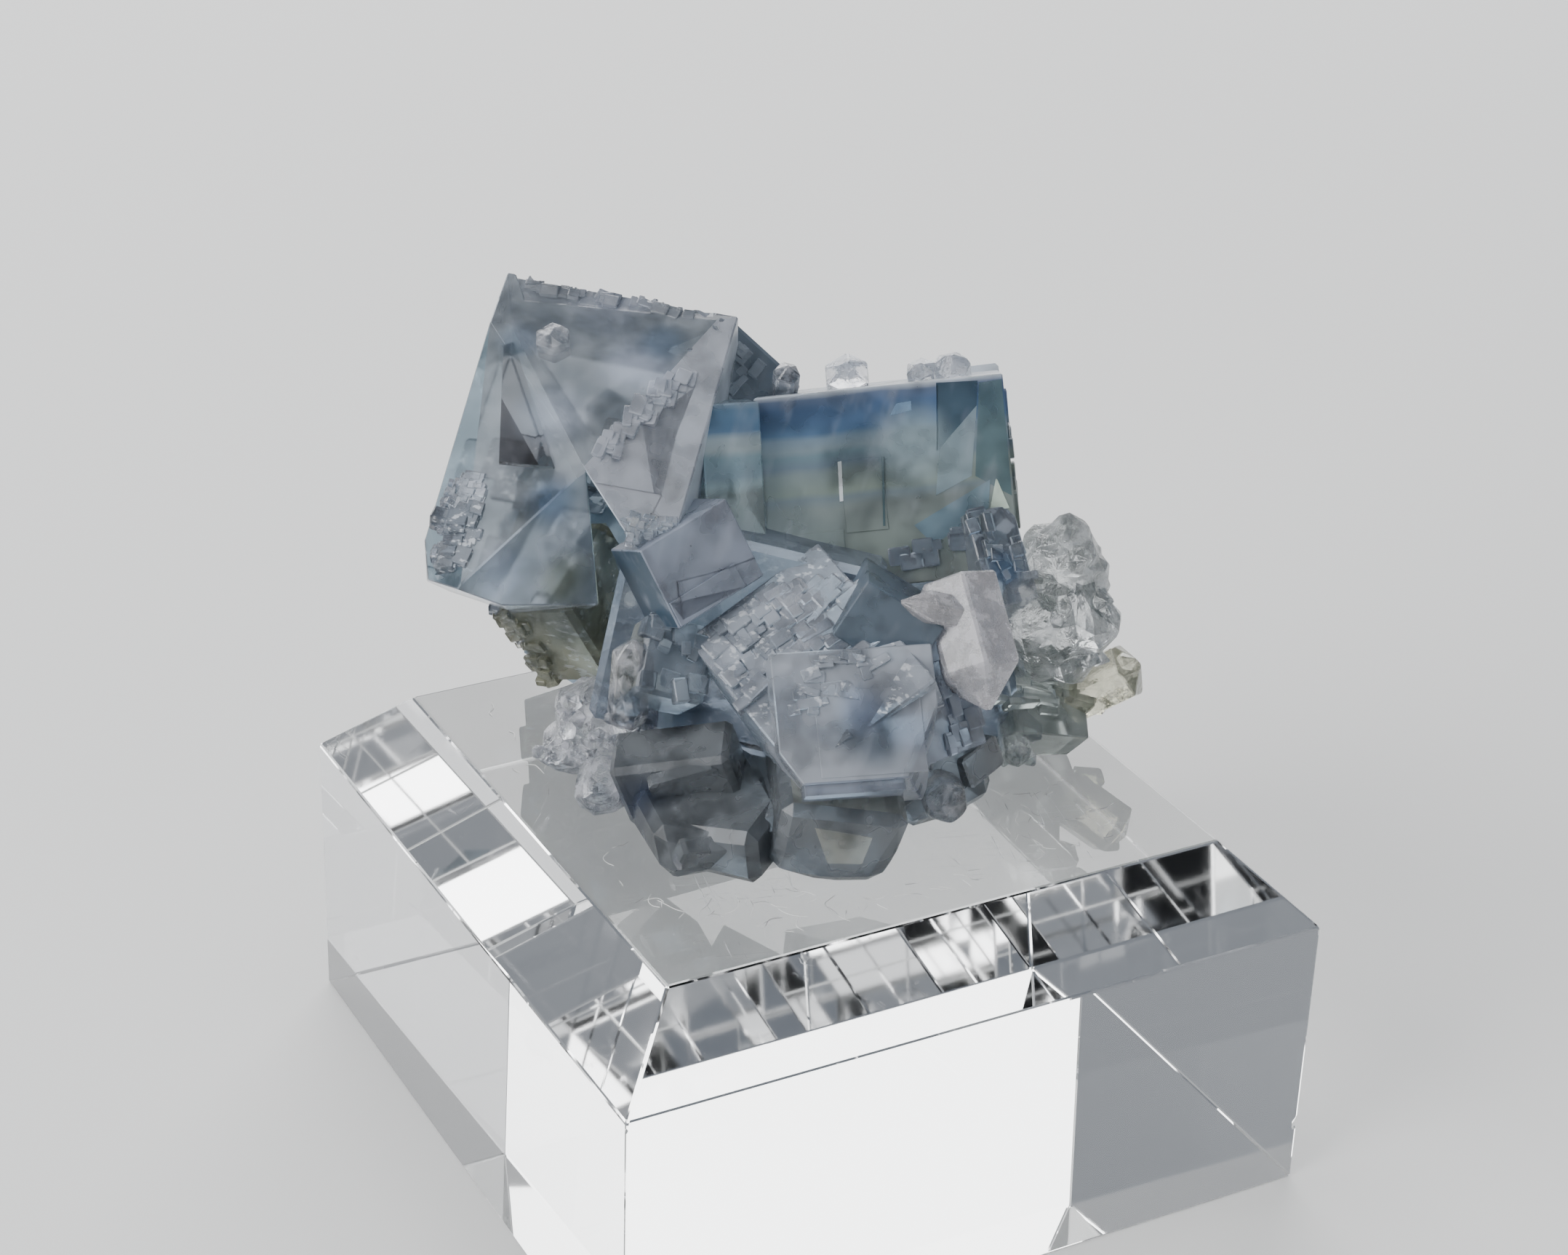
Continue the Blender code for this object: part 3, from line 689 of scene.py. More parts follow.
GROWTH = (
    # crystal, corners of the patch, count, (smallest, largest), reach, finish, wobble in degrees
    ("frosted", ((-5.9, -5, 0.6), (-2.6, -5, 5.0), (2.6, -5, 4.8), (0.6, -5, -1.2)), 80,
     ((0.5, 0.5, 0.8), (1.2, 1.0, 2.6)), 0.16, "sparkle", 5),
    ("frosted", ((-6.4, -5, -4.9), (-5.6, -5, 1.0), (0.6, -5, -1.2), (0.0, -5, -5.0)), 45,
     ((0.6, 0.5, 0.6), (1.5, 1.0, 1.8)), 0.14, "frosted", 4),
    ("big_lower", ((-8.05, -5.16, -2.51), (-5.0, -5.5, -1.9), (-4.7, -5.2, -4.6), (-7.2, -4.8, -5.6)), 60,
     ((0.4, 0.4, 0.4), (1.2, 1.2, 1.1)), 0.10, "sparkle", 3),
    ("big_lower", ((-7.4, -4.9, -4.6), (-4.6, -5.3, -4.2), (-4.6, -4.7, -8.2), (-6.6, -4.6, -9.0)), 60,
     ((0.6, 0.6, 0.6), (1.7, 1.6, 1.5)), 0.14, "etched", 4),
    ("big_lower", ((-8.0, -5.1, -2.6), (-4.7, -5.5, -2.0), (-4.4, -4.8, -8.2), (-6.6, -4.6, -9.0)), 90,
     ((0.3, 0.3, 0.3), (0.7, 0.9, 0.7)), 0.25, "sparkle", 9),
    ("olive", ((-2.8, -4.0, 3.6), (-1.2, -4.0, 3.6), (-1.2, -4.0, -3.6), (-2.8, -4.0, -3.6)), 30,
     ((0.4, 0.4, 0.4), (1.1, 0.8, 1.2)), 0.12, "olive", 8),
    ("olive", ((-2.6, -3.8, 3.8), (2.6, -3.8, 3.8), (2.6, 2.0, 3.8), (-2.6, 2.0, 3.8)), 14,
     ((0.8, 0.8, 0.5), (2.2, 2.2, 0.8)), 0.06, "olive", 6),
    ("big_upper", ((5.2, -5.2, -4.4), (7.6, -4.9, -2.3), (7.5, -5.0, -1.9), (5.1, -5.3, -3.7)), 16,
     ((0.4, 0.5, 0.4), (0.8, 0.9, 0.8)), 0.12, "sparkle", 6),
    ("big_upper", ((4.2, -5.5, -2.9), (6.2, -5.2, -1.6), (6.4, -5.2, -3.2), (5.0, -5.2, -4.1)), 14,
     ((0.3, 0.4, 0.3), (0.8, 0.6, 0.8)), 0.06, "sparkle", 8),
    ("big_upper", ((1.4, -6.55, 1.2), (5.2, -6.5, 9.4), (6.2, -6.1, 8.6), (2.6, -6.45, 1.0)), 34,
     ((0.4, 0.3, 0.8), (1.1, 0.5, 2.2)), 0.05, "flap", 7),
    ("big_upper", ((-6.4, -6.2, 13.9), (4.8, -6.2, 14.1), (4.8, -6.5, 13.4), (-6.4, -6.5, 13.2)), 26,
     ((0.5, 0.3, 0.4), (1.4, 0.6, 1.0)), 0.06, "top_band", 6),
    ("shoulder", ((-2.6, -3.0, 1.4), (-0.6, -3.0, 2.6), (1.8, -3.0, 0.2), (-0.4, -3.0, -2.0)), 12,
     ((0.4, 0.4, 0.4), (1.2, 0.9, 1.4)), 0.12, "steel", 5),
    ("blue_small", ((-2.0, -4.0, 2.2), (2.2, -4.0, 2.4), (2.4, -4.0, -2.2), (-1.9, -4.0, -2.6)), 16,
     ((0.5, 0.5, 0.5), (1.6, 1.2, 1.6)), 0.20, "steel", 8),
    ("right_slope", ((-1.6, -4.5, 3.2), (1.6, -4.5, 3.2), (1.6, -4.5, -3.0), (-1.6, -4.5, -3.0)), 16,
     ((0.5, 0.5, 0.5), (1.3, 1.0, 1.4)), 0.12, "pink_grey", 7),
    ("banded", ((3.0, -6.7, -3.8), (7.0, -6.7, -3.2), (7.0, -6.7, -5.2), (-4.0, -6.7, -5.4)), 16,
     ((0.6, 0.3, 0.5), (2.2, 0.5, 1.6)), 0.05, "pink_grey", 5),
    ("foot_left", ((-3.4, -1.7, 2.6), (2.6, -1.7, 2.6), (2.6, -1.7, -1.0), (-3.4, -1.7, -1.0)), 4,
     ((3.0, 0.6, 2.6), (5.0, 1.0, 4.4)), 0.10, "foot", 18),
    ("foot_corner", ((-3.6, -4.1, 1.4), (3.4, -4.1, 1.4), (3.4, -4.1, 0.4), (-2.0, -4.1, 0.4)), 5,
     ((2.4, 0.8, 1.6), (4.6, 1.4, 2.8)), 0.15, "foot", 15),
    ("foot_front", ((-2.6, -5.3, 1.6), (0.6, -5.3, 1.6), (0.4, -5.3, 0.8), (-2.6, -5.3, 0.8)), 3,
     ((2.6, 0.5, 1.2), (3.8, 0.9, 1.8)), 0.05, "foot", 14),
    ("foot_right", ((-3.0, -3.8, 2.6), (2.8, -3.8, 2.6), (2.8, -3.8, -0.6), (-3.0, -3.8, -0.6)), 6,
     ((2.0, 0.8, 1.8), (4.2, 1.4, 3.2)), 0.15, "foot", 15),
    ("back_left", ((-4.6, 5.2, 6.2), (4.6, 5.2, 6.2), (4.6, 5.2, -4.0), (-4.6, 5.2, -4.0)), 16,
     ((1.2, 1.0, 1.2), (3.8, 2.4, 3.8)), 0.3, "back", 5),
    ("back_left", ((-5.0, -4.6, 6.0), (-5.0, 4.6, 6.0), (-5.0, 4.6, -4.0), (-5.0, -4.6, -4.0)), 10,
     ((1.0, 1.2, 1.2), (2.2, 3.4, 3.6)), 0.2, "olive", 6),
    ("back_middle", ((-5.2, 5.0, 6.0), (5.2, 5.0, 6.0), (5.2, 5.0, -5.0), (-5.2, 5.0, -5.0)), 16,
     ((1.2, 1.0, 1.2), (4.0, 2.2, 4.0)), 0.25, "back", 5),
    ("back_right", ((-5.5, -4.6, 5.4), (-5.5, 4.6, 5.4), (-5.5, 4.6, -4.0), (-5.5, -4.6, -4.0)), 16,
     ((1.0, 1.2, 1.2), (2.2, 3.6, 3.6)), 0.25, "root", 6),
    ("back_right", ((-5.0, 5.2, 5.4), (5.0, 5.2, 5.4), (5.0, 5.2, -4.0), (-5.0, 5.2, -4.0)), 16,
     ((1.2, 1.0, 1.2), (3.6, 2.2, 3.6)), 0.25, "steel", 8),
    ("back_small", ((-3.4, 3.4, 3.6), (3.4, 3.4, 3.6), (3.4, 3.4, -2.0), (-3.4, 3.4, -2.0)), 10,
     ((0.8, 0.8, 0.8), (2.6, 1.8, 2.6)), 0.2, "foot_pale", 8),
    ("banded", ((-7.4, 6.7, 5.6), (7.4, 6.7, 5.6), (7.4, 6.7, -3.0), (-7.4, 6.7, -3.0)), 22,
     ((1.0, 0.5, 1.0), (4.4, 0.8, 3.6)), 0.06, "banded", 1),
    ("banded", ((8.25, -3.0, 5.2), (8.25, 5.8, 5.2), (8.25, 5.8, -3.4), (8.25, -3.0, -3.4)), 14,
     ((0.5, 1.0, 1.0), (0.8, 3.6, 3.0)), 0.06, "banded", 1),
    ("big_upper", ((-6.0, 6.5, 8.6), (6.0, 6.5, 8.6), (6.0, 6.5, -4.0), (-6.0, 6.5, -4.0)), 26,
     ((1.0, 0.4, 1.0), (4.0, 0.7, 4.0)), 0.06, "etched", 1.5),
    ("foot_bar", ((-3.2, -4.5, 1.3), (3.4, -4.5, 3.3), (2.6, -4.5, 1.2), (-2.4, -4.5, -0.9)), 12,
     ((1.2, 0.7, 0.4), (3.0, 1.4, 0.8)), 0.3, "dark_green", 5),
    ("right_low", ((-3.0, -3.5, 1.4), (3.2, -3.5, 1.6), (3.0, -3.5, -1.8), (-3.0, -3.5, -1.8)), 12,
     ((0.8, 0.7, 0.5), (2.4, 1.4, 1.0)), 0.25, "dark_green", 6),
    ("wedge", ((-1.8, -3.5, 3.2), (2.0, -3.5, 3.2), (2.0, -3.5, -3.2), (-0.4, -3.5, -3.4)), 14,
     ((0.5, 0.4, 0.5), (1.4, 0.9, 1.6)), 0.12, "wedge", 6),
    ("frosted_plate", ((-5.0, -3.5, 1.6), (-1.0, -3.5, 4.0), (3.4, -3.5, 3.8), (-4.2, -3.5, -1.6)), 22,
     ((0.5, 0.2, 0.3), (1.9, 0.34, 0.9)), 0.03, "frosted", 10),
)

FIRST_SEED = 3
for seed, row in enumerate(GROWTH, FIRST_SEED):
    boolean(cluster, growth_blocks(*row, seed), "UNION")
    print("growth on", row[0], "gives", len(cluster.data.polygons), "faces")

# %% [markdown]
# ## Growth steps, cracks and chips
#
# Three smaller marks make the faces read as stone. A growth step is a thin plate left standing on a face. A
# crack is a fine groove. A chip is a bite out of an edge, cut with a coarse pebble. Each is real shape, so
# it shows in silhouette and in the light.


# %% Growth steps
STEP_EDGE = 0.03
STEPS = (
    # crystal, centre and size in its own frame, finish
    ("banded", (-1.6, -6.7, -0.45), (2.8, 0.16, 4.8), "banded"),
    ("banded", (-4.9, -6.7, -3.9), (3.4, 0.24, 2.6), "banded"),
    ("slate_plate", (-0.7, -2.35, -1.9), (5.2, 0.36, 1.7), "slate"),
    ("frosted_plate", (-0.6, -2.4, -4.55), (6.4, 1.7, 0.9), "wedge"),
    ("frosted_plate", (0.7, -3.5, -1.2), (6.8, 0.16, 5.6), "plate"),
    ("frosted", (4.6, -5.0, -2.6), (3.6, 0.8, 3.0), "frosted"),
)
for name, centre, size, finish in STEPS:
    plate = box_crystal("step", (0, 0, 0), size)
    carry(plate, crystal_frame(name) @ Matrix.Translation(centre))
    paint(plate, markers[finish])
    soften_edges(plate, STEP_EDGE)
    boolean(cluster, [plate], "UNION")
print("steps:", len(STEPS))

# %% [markdown]
# Colour zones end at straight lines where the crystal's growth changed. Each is a plate sunk into the
# crystal, which stands about a tenth of a millimetre proud of the face at most: a cube primitive whose
# corners are moved to the zone's own. Three such plates are painted light instead: a glint, a highlight
# along an edge and a sheen on the foot.

# %% Colour zones and plates of painted light
ZONE_DEPTH = 0.3
TINTED_PLATES = (
    # crystal, corners as X and Z in its own frame (clockwise from the upper left), height, finish
    ("banded", ((3.85, 6.44), (6.57, 6.31), (6.35, 4.60), (3.68, 2.23)), 0.020, "zone_dark"),
    ("banded", ((3.66, 2.10), (6.37, 4.70), (5.59, 0.11), (3.12, -0.95)), 0.024, "zone_pale"),
    ("banded", ((6.65, 6.16), (8.15, 6.25), (8.10, -1.45), (5.83, 0.08)), 0.022, "zone_teal"),
    ("banded", ((1.50, -2.77), (6.78, -0.25), (6.50, -2.10), (2.66, -4.19)), 0.026, "zone_blue"),
    # painted glint
    ("banded", ((7.15, -0.24), (7.25, -0.30), (7.86, -2.24), (6.56, -2.31)), 0.060, "spark"),
    # painted highlight along a step
    ("banded", ((-3.12, 1.90), (-2.86, 1.94), (-3.00, -0.70), (-3.24, -0.72)), 0.110, "bright_edge"),
    ("banded", ((-0.20, 1.94), (-0.06, 1.94), (-0.40, -2.60), (-0.54, -2.60)), 0.110, "zone_teal"),
    ("banded", ((1.10, 5.35), (2.10, 5.42), (2.05, 4.80), (0.60, 4.60)), 0.018, "zone_light_blue"),
    ("big_upper", ((-6.5, 8.2), (-5.9, 8.6), (-0.6, -0.7), (-4.2, -1.1)), 0.020, "clear_window"),
    # painted sheen on the front of the foot
    ("foot_front", ((-1.90, 1.50), (1.90, 1.20), (1.60, -0.90), (-0.60, -1.10)), 0.030, "foot_pale"),
)


def tinted_plate(name, corners, height, finish):
    """Add a four-cornered plate to the front face of a crystal."""
    slab = box_crystal("zone", (0, 0, 0), (1, 1, 1))
    lattice = crystal_frame(name)
    front = -FLUORITE[name][1][1] / 2
    order = ((-1, 1), (1, 1), (1, -1), (-1, -1))
    for point in slab.data.vertices:
        x, z = corners[order.index((math.copysign(1, point.co.x), math.copysign(1, point.co.z)))]
        y = front - height if point.co.y < 0 else front + ZONE_DEPTH
        point.co = lattice @ Vector((x, y, z)) * MM
    paint(slab, markers[finish])
    boolean(cluster, [slab], "UNION")


for row in TINTED_PLATES:
    tinted_plate(*row)
print("zones:", len(TINTED_PLATES))


# %% Cracks
CRACK_WIDTH = 0.09
CRACK_DEPTH = 0.35


def crack(name, start, end):
    """A straight groove between two points of a crystal's own frame, cut from the front."""
    lattice = crystal_frame(name)
    a = lattice @ Vector(start)
    b = lattice @ Vector(end)
    along = (b - a).normalized()
    outwards = lattice.to_3x3() @ Vector((0, -1, 0))
    across = along.cross(outwards).normalized()
    outwards = across.cross(along)
    turned = Matrix((along, across, outwards)).transposed().to_4x4()
    groove = box_crystal("groove", (0, 0, 0), ((b - a).length, CRACK_WIDTH, CRACK_DEPTH * 2))
    carry(groove, Matrix.Translation((a + b) / 2) @ turned)
    paint(groove, markers["slate"])
    boolean(cluster, [groove], "DIFFERENCE")


CRACKS = (
    # crystal, start and end in its own frame
    ("big_upper", (2.2, -6.2, -1.1), (6.36, -5.36, -0.42)),
    ("big_upper", (6.36, -5.36, -0.42), (6.09, -5.26, -2.2)),
    ("slate_plate", (3.8, -2.4, -1.61), (0.4, -2.4, -0.9)),
    ("slate_plate", (0.5, -2.4, -0.92), (-2.19, -2.4, -0.13)),
    ("slate_plate", (-2.1, -2.4, -0.1), (-3.0, -2.4, -2.4)),
    ("banded", (3.9, -6.75, 6.3), (3.5, -6.75, 2.0)),
)
for row in CRACKS:
    crack(*row)
print("cracks:", len(CRACKS))

# %% Chips
CHIP_SCATTER = 0.15
# shares of the largest chip: how far a chip's middle lies above the ridge, and how small a chip may be
CHIP_LIFT = 0.12
SMALLEST_CHIP = 0.45
RIDGES = (
    # start, end, number of chips, largest chip
    ((-12.6, 19.7, 56.1), (-1.0, 10.3, 54.8), 15, 1.5),
    ((-14.9, 17.4, 55.0), (-20.5, 12.5, 51.0), 6, 0.9),
    ((-25.0, 5.6, 44.4), (-23.6, 3.6, 40.9), 5, 1.2),
    ((-0.9, 10.3, 54.6), (-7.5, 8.0, 52.6), 5, 0.7),
    ((-18.2, 10.1, 36.4), (-14.5, 10.5, 30.4), 9, 1.1),
    ((15.6, 0.4, 51.9), (13.2, -3.0, 43.0), 5, 0.7),
    ((-15.2, -10.0, 27.9), (-14.9, -9.7, 25.8), 2, 2.2),
)
draw = random.Random(5)
for start, end, count, largest in RIDGES:
    stones = []
    for number in range(count):
        along = (number + draw.random()) / count
        spot = Vector(start).lerp(Vector(end), along)
        scatter = Vector([draw.uniform(-CHIP_SCATTER, CHIP_SCATTER) for axis in range(3)])
        spot += scatter + Vector((0, 0, largest * CHIP_LIFT))
        size = [draw.uniform(SMALLEST_CHIP, 1.0) * largest for axis in range(3)]
        stones.append(pebble(spot, size, [draw.uniform(0, 90) for axis in range(3)]))
        # The broken faces take the sparkle finish: etched stone with painted glints.
        paint(stones[-1], markers["sparkle"])
    boolean(cluster, stones, "DIFFERENCE")
print("fluorite:", len(cluster.data.polygons), "faces")

# %% [markdown]
# ## From markers to attributes
#
# The union carries the marker slots. They are now read off face by face into two attributes, tint and
# finish, and the mesh keeps one material only: a clear body with one plain absorption all through it.

# %% Fluorite attributes
tint = cluster.data.color_attributes.new("tint", "FLOAT_COLOR", "CORNER")
finish = cluster.data.color_attributes.new("finish", "FLOAT_COLOR", "CORNER")
slots = [slot.name.replace("marker ", "") for slot in cluster.data.materials]
for face in cluster.data.polygons:
    colour, haze, etch, bands = FINISHES[slots[face.material_index]]
    for corner in face.loop_indices:
        tint.data[corner].color = (*colour, 1)
        finish.data[corner].color = (haze, etch, bands, 1)
    face.material_index = 0
cluster.name = "fluorite_crystals"
cluster.data.name = "fluorite_crystals"

# %% [markdown]
# ## The fluorite material
#
# Fluorite bends light by only 1.434, so it looks soft beside quartz. Its colour sits in zones: the banded
# cube goes from deep blue at its top through teal to olive, in layers along its own vertical, and other
# crystals have clouds, some of which are painted light and painted shade. A layer is a dot product of the
# place with the crystal's axis. A cloud is a soft round mask. Haze lowers the transmission and raises the
# roughness. Etching sets the bump and the pale specks, which are painted glints.

# %% Fluorite material
BANDS = (
    # height from 0 at the crystal's foot to 1 at its top, colour
    (0.00, (0.21, 0.23, 0.21)), (0.20, (0.20, 0.24, 0.22)), (0.42, (0.18, 0.21, 0.20)),
    (0.47, (0.14, 0.18, 0.20)), (0.50, (0.18, 0.22, 0.19)), (0.60, (0.16, 0.20, 0.20)),
    (0.64, (0.11, 0.15, 0.19)), (0.69, (0.11, 0.17, 0.20)), (0.72, (0.17, 0.22, 0.25)),
    (0.77, (0.14, 0.20, 0.26)), (0.80, (0.06, 0.12, 0.22)), (0.92, (0.06, 0.11, 0.21)),
    (0.97, (0.11, 0.15, 0.24)), (1.00, (0.55, 0.60, 0.66)),
)
COLUMN_BANDS = (
    (0.00, (0.22, 0.26, 0.26)), (0.50, (0.26, 0.31, 0.30)), (0.55, (0.32, 0.43, 0.45)),
    (0.60, (0.19, 0.27, 0.32)), (0.70, (0.17, 0.26, 0.30)), (0.74, (0.30, 0.36, 0.37)),
    (0.80, (0.26, 0.33, 0.36)), (0.84, (0.07, 0.14, 0.24)), (0.95, (0.08, 0.15, 0.24)),
    (1.00, (0.19, 0.25, 0.31)),
)
CLOUDS = (
    # crystal, place in its own frame, radius, colour, share; rows of painted light and painted shade are
    # marked
    ("frosted_plate", (0.9, -3.5, -1.5), 3.2, (0.08, 0.105, 0.14), 0.85),
    ("frosted_plate", (3.4, -3.5, -1.4), 2.0, (0.22, 0.26, 0.36), 0.5),
    # painted light: these five clouds paint the lid's gradient and its lighter patches where light shines
    # through
    ("big_upper", (2.6, -6.5, 8.6), 3.4, (0.62, 0.68, 0.84), 0.7),
    ("big_upper", (-1.8, -6.5, 3.4), 3.2, (0.60, 0.66, 0.80), 0.6),
    ("big_upper", (3.6, -6.5, 10.8), 2.0, (0.40, 0.56, 0.78), 0.6),
    ("big_upper", (-5.6, -6.5, 8.8), 2.0, (0.32, 0.40, 0.52), 0.7),
    ("big_upper", (-0.4, -6.4, 12.8), 3.5, (0.38, 0.41, 0.50), 0.5),
    ("big_lower", (0.8, -0.7, -5.2), 2.6, (0.30, 0.33, 0.28), 0.9),
    ("big_lower", (-2.3, -3.7, -7.7), 2.6, (0.55, 0.62, 0.78), 0.7),
    ("big_lower", (-0.1, -6.0, -3.0), 2.4, (0.12, 0.20, 0.34), 0.8),
    ("banded", (1.9, -6.7, 2.4), 3.6, (0.34, 0.44, 0.48), 0.75),
    ("right_slope", (-0.1, -4.5, -0.8), 1.7, (0.12, 0.22, 0.40), 0.85),
    # partly painted shade: the foot's own dark navy, deepened as shade low in the cluster
    ("foot_left", (-2.5, -1.9, 1.0), 3.6, (0.035, 0.05, 0.09), 0.85),
    # painted shade: a near-black cloud where a dark gap lies between the crystals
    ("blue_small", (1.6, -1.2, -2.9), 2.8, (0.012, 0.016, 0.022), 0.96),
    ("olive", (1.1, -4.0, 2.0), 2.8, (0.14, 0.15, 0.12), 0.7),
    ("frosted", (5.2, -5.0, 0.4), 2.2, (0.24, 0.30, 0.44), 0.6),
)
BANDED_CRYSTALS = (
    # crystal, half its height, bands, and the range of the bands attribute that means this crystal
    ("banded", 6.6, BANDS, 0.75, 1.25),
    ("banded_column", 5.9, COLUMN_BANDS, 0.25, 0.75),
)
FLUORITE_IOR = 1.434
ABSORBED = (0.76, 0.82, 0.86, 1)
DENSITY = 45
# how far the bands sway, in mm
BAND_SWAY = 0.5
# values for no haze and for full haze
HAZE_TRANSMISSION = (1.0, 0.30)
HAZE_ROUGHNESS = (0.04, 0.38)
# painted glints: pale specks on etched faces that stand in for sparkling highlights
PAINTED_GLINT = (0.90, 0.92, 0.96)
PAINTED_GLINT_SHARE = 0.85
WISP = (0.72, 0.75, 0.84)
WISP_SHARE = 0.22
# etching up to this share leaves a face without steps
SMOOTH_ETCH = 0.08
GRAIN_EVERYWHERE = 0.05

fluorite, tree, shader = new_material("fluorite")
place = millimetres(tree)
tint_node = tree.nodes.new("ShaderNodeAttribute")
tint_node.attribute_name = "tint"
finish_node = tree.nodes.new("ShaderNodeAttribute")
finish_node.attribute_name = "finish"
parts = tree.nodes.new("ShaderNodeSeparateColor")
tree.links.new(finish_node.outputs["Color"], parts.inputs[0])
haze, etch, bands = parts.outputs
colour = tint_node.outputs["Color"]
warp = noise(tree, place, 0.25, 1)
for name, half_height, stops, low, high in BANDED_CRYSTALS:
    lattice = crystal_frame(name)
    axis = lattice.to_3x3() @ Vector((0, 0, 1))
    rise = vector_maths(tree, "DOT_PRODUCT", place, axis)
    rise = maths(tree, "SUBTRACT", rise, lattice.translation.dot(axis) + BAND_SWAY / 2)
    rise = maths(tree, "ADD", rise, maths(tree, "MULTIPLY", warp, BAND_SWAY))
    layer = ramp(tree, maths(tree, "MULTIPLY_ADD", rise, 0.5 / half_height, 0.5), stops)
    chosen = maths(tree, "MULTIPLY", maths(tree, "GREATER_THAN", bands, low),
                   maths(tree, "LESS_THAN", bands, high))
    colour = mix(tree, chosen, colour, layer)
for name, centre, radius, shade, share in CLOUDS:
    middle = crystal_frame(name) @ Vector(centre)
    mask = maths(tree, "MULTIPLY", blot(tree, place, middle, radius), share)
    colour = mix(tree, mask, colour, shade)
clouds = spread(tree, noise(tree, place, 0.34, 2, 0.6), 0.30, 0.70, 0.78, 1.18)
wisps = spread(tree, noise(tree, millimetres(tree, (1, 1, 0.35), (20, -25, 0)), 0.7, 2, 0.5), 0.50, 0.80)
combined = tree.nodes.new("ShaderNodeCombineColor")
for socket in combined.inputs:
    tree.links.new(clouds, socket)
colour = mix(tree, 1.0, colour, combined.outputs[0], "MULTIPLY")
# painted glints: pale specks, stronger where a face is more etched
glint_spots = spread(tree, noise(tree, millimetres(tree, (0.8, 0.8, 1.6)), 1.7, 2, 0.6), 0.56, 0.66)
glint_share = maths(tree, "MULTIPLY", glint_spots, spread(tree, etch, 0.1, 0.4, 0.0, PAINTED_GLINT_SHARE))
colour = mix(tree, glint_share, colour, PAINTED_GLINT)
colour = mix(tree, maths(tree, "MULTIPLY", wisps, maths(tree, "MULTIPLY", haze, WISP_SHARE)), colour, WISP)
plug(tree, shader.inputs["Base Color"], colour)
dull = maths(tree, "MULTIPLY", haze, clouds, clamp=True)
plug(tree, shader.inputs["Transmission Weight"], spread(tree, dull, 0.0, 1.0, *HAZE_TRANSMISSION))
plug(tree, shader.inputs["Roughness"], spread(tree, dull, 0.0, 1.0, *HAZE_ROUGHNESS))
shader.inputs["IOR"].default_value = FLUORITE_IOR
etched = maths(tree, "MAXIMUM", maths(tree, "SUBTRACT", etch, SMOOTH_ETCH), 0.0)
steps = maths(tree, "MULTIPLY", cells(tree, place, 1.1), etched)
grain_share = maths(tree, "ADD", etched, GRAIN_EVERYWHERE)
grain = maths(tree, "MULTIPLY", noise(tree, place, 5.0, 1, 0.65), grain_share)
ground = relief(tree, steps, 0.22, 0.6)
plug(tree, shader.inputs["Normal"], relief(tree, grain, 0.05, 0.6, below=ground))
depth = tree.nodes.new("ShaderNodeVolumeAbsorption")
depth.inputs["Color"].default_value = ABSORBED
depth.inputs["Density"].default_value = DENSITY
tree.links.new(depth.outputs["Volume"], tree.nodes["Material Output"].inputs["Volume"])
paint(cluster, fluorite)
hand_over(cluster, "fluorite_cluster")
for marker in markers.values():
    bpy.data.materials.remove(marker)

# %% [markdown]
# ## Quartz
#
# Quartz grows as a six-sided prism closed by sloping faces. Here it is a cylinder primitive with six
# sides, cleaved by six planes. Three of the planes pass a little deeper than the others, because real
# quartz shows three large end faces and three small ones. Roots run half a millimetre into the fluorite.


# %% Quartz helpers
QUARTZ_EDGE = 0.08
POINT_EDGE = 0.04
POINT_LEAN = 35
POINT_SCATTER = 1.1
# shares of a crystal's width: from a hexagon's middle to its side, and how deep its end faces are cut
TO_SIDE = 0.433
SHALLOW_CUT = (0.0, 0.02)
DEEP_CUT = (0.02, 0.07)


def quartz_crystal(root, tip, width, spin, point, seed, edge=QUARTZ_EDGE, material=-1):
    """A prism from root to tip in mm, with its end faces as steep as the point's length asks."""
    draw = random.Random(seed)
    root = Vector(root)
    tip = Vector(tip)
    axis = (tip - root).normalized()
    turn = axis.to_track_quat("Z", "Y") @ Quaternion((0, 0, 1), math.radians(spin))
    bpy.ops.object.select_all(action="DESELECT")
    bpy.ops.mesh.primitive_cylinder_add(vertices=6, radius=width / 2 * MM, depth=(tip - root).length * MM,
                                        location=(root + tip) / 2 * MM, rotation=turn.to_euler())
    crystal = bpy.context.object
    crystal.name = "quartz"
    settle(crystal)
    lean = math.atan2(point, width * TO_SIDE)
    for side in range(6):
        around = turn @ Vector((math.cos(math.radians(60 * side)), math.sin(math.radians(60 * side)), 0))
        outwards = around * math.sin(lean) + axis * math.cos(lean)
        sunk = width * draw.uniform(*(SHALLOW_CUT if side % 2 else DEEP_CUT))
        cleave(crystal, (tip - outwards * sunk) * MM, outwards)
    soften_edges(crystal, edge, material=material)
    return crystal


def quartz_solid(name, *rows):
    """One solid of the crystals in these rows: root, tip, width, spin, length of point and seed."""
    first, *others = [quartz_crystal(*row) for row in rows]
    if others:
        boolean(first, others, "UNION")
    first.name = name
    first.data.name = name
    return first


def weather(piece, voxel, strength, grain, kept):
    """Turn crisp crystals into a rough lump: remesh, push in and out, then thin out to crisp facets."""
    apply_modifier(piece, "REMESH", mode="VOXEL", voxel_size=voxel * MM)
    for kind, scale, share in (("VORONOI", grain, 1.0), ("CLOUDS", grain * 0.45, 0.45)):
        pattern = bpy.data.textures.new("rough", kind)
        pattern.noise_scale = scale * MM
        apply_modifier(piece, "DISPLACE", texture=pattern, texture_coords="LOCAL", mid_level=0.42,
                       strength=strength * share * MM)
    apply_modifier(piece, "DECIMATE", ratio=kept)


